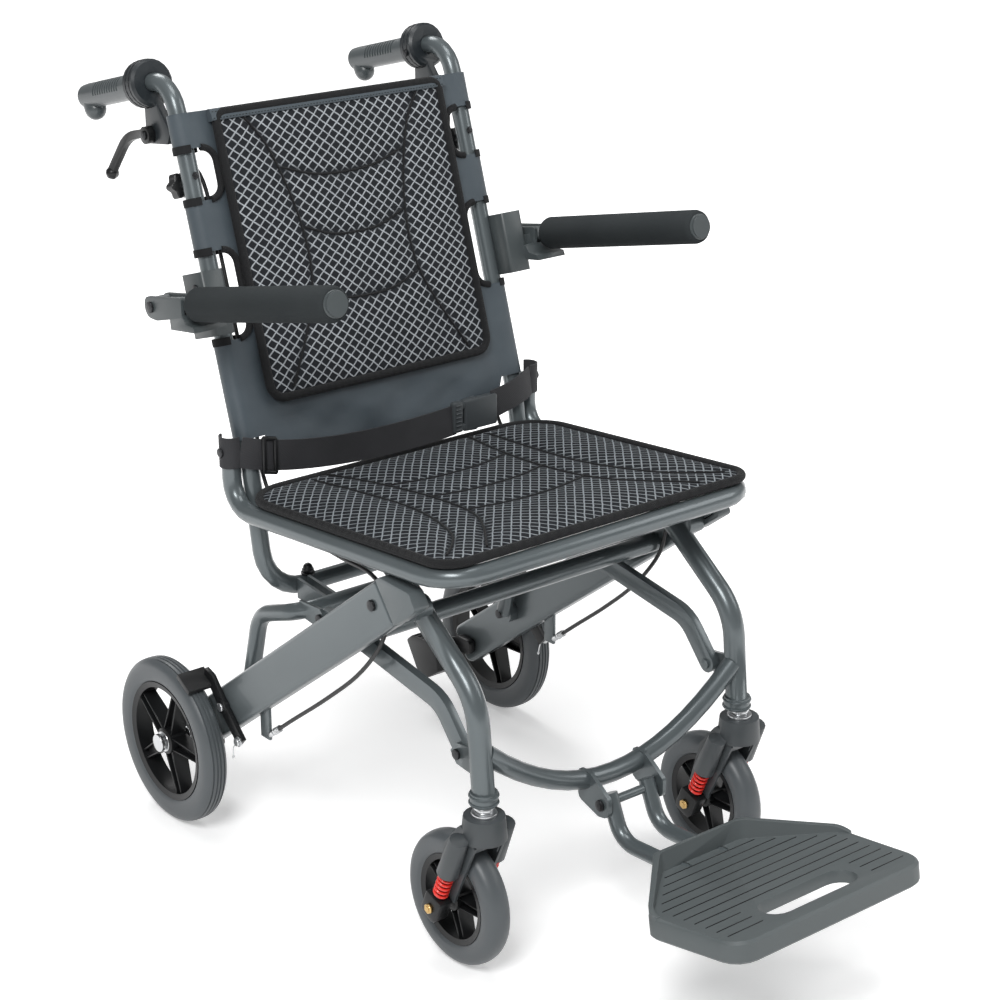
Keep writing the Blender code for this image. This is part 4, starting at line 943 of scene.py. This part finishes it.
def hand_grip(word, side):
    """A smooth moulded grip: slots across the middle of its top, and a round end that drops below it."""
    x = side * CANE_X
    start, end = 63, 194
    first, pitch, count = start + 32, 5.6, 11
    bm = solid()
    bend = on_handle(x, 0)
    down = (on_handle(x, 0, 1) - bend).normalized()
    along = (on_handle(x, 1) - bend).normalized()
    profile = [(start, 11.5), (start + 0.4, 13.6), (start + 2, 14.9)]
    profile += [(start + 3 + 4 * k, 15 - 0.05 * k) for k in range(7)]
    for k in range(count):
        profile += [(first + pitch * k + s, 14.6) for s in (0, 0.3, 2.3, 2.6)]
    profile += [(end - 34, 14.5), (end - 14, 14.6), (end - 4, 14), (end - 1.4, 12), (end, 8)]
    spun(bm, [off(on_handle(x, s), down, r) for s, r in profile], bend, along, 60)
    for vert in bm.verts:
        gone = vert.co - bend
        radial = gone - along * gone.dot(along)
        place = gone.dot(along) / MM - first
        if 0 < place < pitch * count and 0.2 < place % pitch < 2.4 and radial.normalized().dot(down) < 0.1:
            vert.co -= radial.normalized() * 2.6 * MM
    bmesh.ops.holes_fill(bm, edges=[e for e in bm.edges if e.is_boundary], sides=0)
    tube(bm, smooth_route([on_handle(x, end - 15, 3), on_handle(x, end - 14.5, 10), on_handle(x, end - 16, 16)], 4),
         12.6, 22)
    ball(bm, on_handle(x, end - 16, 16), 12.6)
    keep("hand_grip_rubber_" + word, bm, grip_rubber, "back", "black_plastic", "hand_grip_" + word, 30)
    clamp = solid()
    for s in (46.5, 54):
        tube(clamp, [on_handle(x + 26.9 * cos(a), s, 26.9 * sin(a)) for a in circle(48)], 0.55, 8, True)
    screw_head(clamp, on_handle(x - side * 26, 50, 6), Vector((-side, 0, 0)), 4.5, 3.0)
    screw_head(clamp, on_handle(x + side * 11, 59, 56), Vector((side, 0, 0)), 5.5, 2.6)
    keep("brake_clamp_screws_" + word, clamp, dark_bolt, "back", "zinc")


def arm_pad(word, side):
    ahead = Vector((0, -cos(ARM_SLOPE), sin(ARM_SLOPE)))
    down = Vector((0, -sin(ARM_SLOPE), -cos(ARM_SLOPE)))

    def along(y):
        return at(side * ARM_X, y, ARM_Z + tan(ARM_SLOPE) * (ARM_Y - y))

    bm = solid()
    rear, front = along(-104), along(-362)
    length = (front - rear).length / MM
    profile = [(0, 9.6), (0, 15.5), (1.2, 18.2), (4, 19.2), (length - 6, 19.2), (length - 2, 18), (length, 15.5),
               (length, 12.6)]
    spun(bm, [rear + (ahead * s + down * r) * MM for s, r in profile], rear, ahead, 40)
    foam = keep("arm_foam_sleeve_" + word, bm, arm_foam, "armrest_" + word, "foam_black", "arm_foam_" + word, 50)
    put(foam.modifiers.new("wall", "SOLIDIFY"), thickness=0.5 * MM, offset=-1)
    plug = solid()
    soft_rod(plug, off(front, ahead, -3), off(front, ahead, 2.4), 14.6, 1.4, 32)
    soft_rod(plug, off(front, ahead, 1), off(front, ahead, 3.2), 10.5, 1.0, 32)
    keep("arm_end_plug_" + word, plug, grey_moulding, "armrest_" + word, "grey_plastic")
    screws("arm_pivot_bolt_" + word, "armrest_" + word,
           (at(side * (ARM_X + 14), ARM_Y, ARM_Z), Vector((side, 0, 0)), 6.5, 3.0))


def fasteners(word, side):
    out = Vector((side, 0, 0))
    screws("rear_leg_bolt_" + word, "rear_legs", (at(side * 225.6, -380.3, 394.4), out, 6.2, 3.4),
           (at(side * 190, -86, 174), -out, 6.0, 7.0))
    band = solid()
    for z in (205.5, 213.5):
        tube(band, [at(side * 184 + 15 * cos(a), -514 + 15 * sin(a), z) for a in circle(32)], 1.6, 8, True)
    keep("front_leg_collar_" + word, band, frame_paint, "chassis", "frame_paint")
    screws("front_leg_fittings_" + word, "chassis", (at(side * 188, -474, 246), out, 6, 3),
           (at(side * 177.5, -366, 437), -out, 6, 3), (at(side * 228.4, SEAT_REAR_Y, 488), out, 5.5, 2.6))
    screws("loop_bolt_" + word, "loop", (at(side * 187.4, -228, 316.6), out, 6, 3))
    back = solid()
    screw_head(back, on_back(side * 227.4, up_cane(662), 20), out, 5.5, 2.4)
    screw_head(back, on_back(side * CANE_X, up_cane(779), CANE_R), AHEAD, 4.2, 2.2)
    stud = at(side * 137, cane_y(318.2), 318.2)
    soft_rod(back, off(stud, UP, 10.4), off(stud, UP, 13), 8.4, 0.8)
    hex_nut(back, off(stud, UP, 13), UP, 7.4, 4.5)
    ball(back, off(stud, UP, 17), 6.0, (1, 1, 1.1))
    keep("back_bolts_" + word, back, dark_bolt, "back", "zinc")
    bush = solid()
    soft_rod(bush, off(stud, UP, -21.8), off(stud, UP, -10.3), 7.6, 1.2)
    keep("back_buffer_" + word, bush, spring_red, "back", "spring_red")


def brake_fittings(word, side):
    """Pivot bolt, cable clamp and the wire's loose end on the arm; the barrel adjuster on the leg."""
    out = Vector((side, 0, 0))
    arm = solid()
    hex_nut(arm, at(side * 232.2, -86, 170), out, 5.6, 3.4)
    clamp = at(side * 231.3, -120, 138)
    soft_rod(arm, clamp, off(clamp, out, 2), 6.2, 0.6, 18)
    hex_nut(arm, off(clamp, out, 2), out, 5.2, 3.2)
    tip = clamp + Vector((side, 12, -24)) * MM
    tube(arm, smooth_route([off(clamp, out, 1.4), clamp + Vector((side * 2, 9, -10)) * MM, tip], 6), 0.8, 8)
    ball(arm, tip, 1.5, (1, 1, 1.6))
    keep("brake_clamp_" + word, arm, bright_zinc, "brake_arm_" + word, "zinc")
    barrel = solid()
    end, ahead = at(side * 214, -163, 159), Vector((side * 0.037, 0.786, -0.617))
    soft_rod(barrel, off(end, ahead, -6), off(end, ahead, 4), 3.6, 0.6, 16)
    hex_nut(barrel, off(end, ahead, -12), ahead, 4.6, 5)
    for s in (-21, -18, -15):
        soft_rod(barrel, off(end, ahead, s), off(end, ahead, s + 2.4), 4.2, 0.5, 16)
    keep("brake_adjuster_" + word, barrel, bright_zinc, "rear_legs", "zinc")


def foot_hardware():
    screws("footrest_bolts", "chassis",
           *((at(side * 42, -538, 163), Vector((side, 0, 0)), 6.5, 3.2) for _, side in SIDES))


# Footplate


def on_plate(x, y, above):
    out = y + 723
    return at(x, -723 + out * cos(PLATE_TILT) + above * sin(PLATE_TILT),
              148 - out * sin(PLATE_TILT) + above * cos(PLATE_TILT))


def footplate():
    """The moulded plate, with a shallow wall round its slot, and black ribs across its tread: painted shade for the
    grooves pressed in it.
    """
    bm = solid()
    bm.from_mesh(NODES["footplate"].data)
    bmesh.ops.remove_doubles(bm, verts=bm.verts, dist=2e-6)
    below = solid()
    slot = arc_corners(rectangle(-69, -830, 69, -782), [23.5] * 4, 7)
    prism(below, [on_plate(x, y, -40) for x, y in slot], on_plate(0, 0, -14) - on_plate(0, 0, -40))
    mesh = cut_out(linked("plate", to_mesh("plate", bm, False)), [below])
    finish("footplate", plate_moulding, "footrest", "black_plastic", 1.4, mesh)
    # Black ribs where the tread's grooves are: painted shade in the grooves.
    bm = solid()
    for k in range(11):
        y = -664 - k * 15.6
        half = 64 + (143 - 64) * min(1, (-645 - y) / 78) - 18 if y > -723 else 126
        spans = [(-half, -78), (78, half)] if y < -776 else [(-half, half)]
        for x0, x1 in spans:
            soft_rod(bm, on_plate(x0, y, -0.25), on_plate(x1, y, -0.25), 0.9, 0.3, 8)
    keep("footplate_groove_shade", bm, black_moulding, "footrest", "black_plastic")


# Brake cables


def brake_cable(word, side):
    lever = on_handle(0, 59, 56)
    lever_y, lever_z = lever.y / MM - AXLE_Y, lever.z / MM
    route = [(CANE_X - 3, lever_y - 40.5, lever_z + 1), (186, 12, lever_z - 18), (174, cane_y(770) + 8, 770),
             (171, cane_y(700) + 8, 700), (171, cane_y(600) + 8, 600), (171, cane_y(510) + 8, 510),
             (171, -96, 455), (173, -125, 420), (178, -190, 404), (188, -275, 405), (198, -342, 410),
             (200.3, -372, 392), (200.3, -371, 362), (200.8, -357, 330), (203, -318, 284), (208, -262, 236),
             (212, -205, 192), (214, -163, 159)]
    points = smooth_route([at(side * x, y, z) for x, y, z in route], 5)
    split = 9 * 5
    for name, run, pair, start, end in (
            ("upper", points[:split + 1], ("back", "chassis"), at(side * 171, -80, 520), at(side * 178, -170, 405)),
            ("lower", points[split:], ("chassis", "rear_legs"), at(side * 200.3, -372, 402),
             at(side * 200.3, -372, 368))):
        bm = solid()
        tube(bm, run, 2.4, 12)
        stands = "brake_cable_" + word if name == "upper" else None
        made = keep(f"brake_cable_{name}_{word}", bm, cable_sheath, None, "black_plastic", stands, 0)
        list(pair)
        tuple(start)
        tuple(end)
        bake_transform(made)
        length = sum((b - a).length for a, b in zip(run, run[1:]))
        tuple(run[0])
        [tuple(p) for p in run]


# Stage


def studio():
    floor = solid()
    bmesh.ops.create_grid(floor, x_segments=1, y_segments=1, size=40)
    ground = linked("floor", to_mesh("floor", floor, False))
    ground.location.z = -0.0005
    made, tree, shader = material("pale_floor", gloss=0.1)
    path = tree.nodes.new("ShaderNodeLightPath").outputs
    reach = put(tree.nodes.new("ShaderNodeVectorMath"), operation="LENGTH")
    feed(reach.inputs[0], coordinates(tree, "Object"))
    far = fade(tree, reach.outputs["Value"], From_Min=0.7, From_Max=1.8, To_Min=0.34, To_Max=1.0)
    seen = maths(tree, "MAXIMUM", path["Is Camera Ray"],
                 maths(tree, "MAXIMUM", path["Is Glossy Ray"], path["Is Transmission Ray"]))
    fill(shader, Base_Color=(0.93, 0.93, 0.93, 1), Roughness=0.9, Emission_Color=(1, 1, 1, 1),
         Emission_Strength=maths(tree, "MULTIPLY", seen, far))
    ground.data.materials.append(made)
    world = put(bpy.data.worlds.new("studio"), use_nodes=True)
    tree = world.node_tree
    path = tree.nodes.new("ShaderNodeLightPath").outputs
    seen = maths(tree, "MAXIMUM", path["Is Camera Ray"], path["Is Transmission Ray"])
    fill(tree.nodes["Background"], Color=(1, 1, 1, 1), Strength=maths(tree, "MULTIPLY_ADD", seen, 0.7, 0.3))
    for name, place, size, power, aim_z in (
            ("key", (-2.4, -1.8, 3.2), 1.6, 105, 0.45), ("fill", (2.8, -1.8, 2.4), 2.0, 30, 0.45),
            ("rim", (0.6, 2.6, 2.8), 1.6, 36, 0.55), ("top", (0, -0.2, 3.2), 1.4, 26, 0.45)):
        lamp = put(bpy.data.lights.new(name, "AREA"), shape="DISK", size=size, energy=power)
        put(linked(name, lamp), location=place,
            rotation_euler=(UP * aim_z - Vector(place)).to_track_quat("-Z", "Y").to_euler())
    camera = linked("photo_view", put(bpy.data.cameras.new("photo_view"), lens=85.37, sensor_width=36))
    shift = AXLE_Y * MM
    camera.location = (-1.5631, -2.2306 + shift, 1.3693)
    target = Vector((0, -0.3152 + shift, 0.4393))
    camera.rotation_euler = (target - camera.location).to_track_quat("-Z", "Y").to_euler()
    put(bpy.context.scene, world=world, camera=camera)
    bpy.context.scene.view_settings.view_transform = "Standard"


studio()
for side_word, side_sign in SIDES:
    brake_cable(side_word, side_sign)
frame_metal()
seat_pad()
back_pad()
sling()
lap_belt()
footplate()
foot_hardware()
for side_word, side_sign in SIDES:
    for make in (rear_leg, wheels, caster_suspension, hand_grip, arm_pad, fasteners, brake_fittings):
        make(side_word, side_sign)
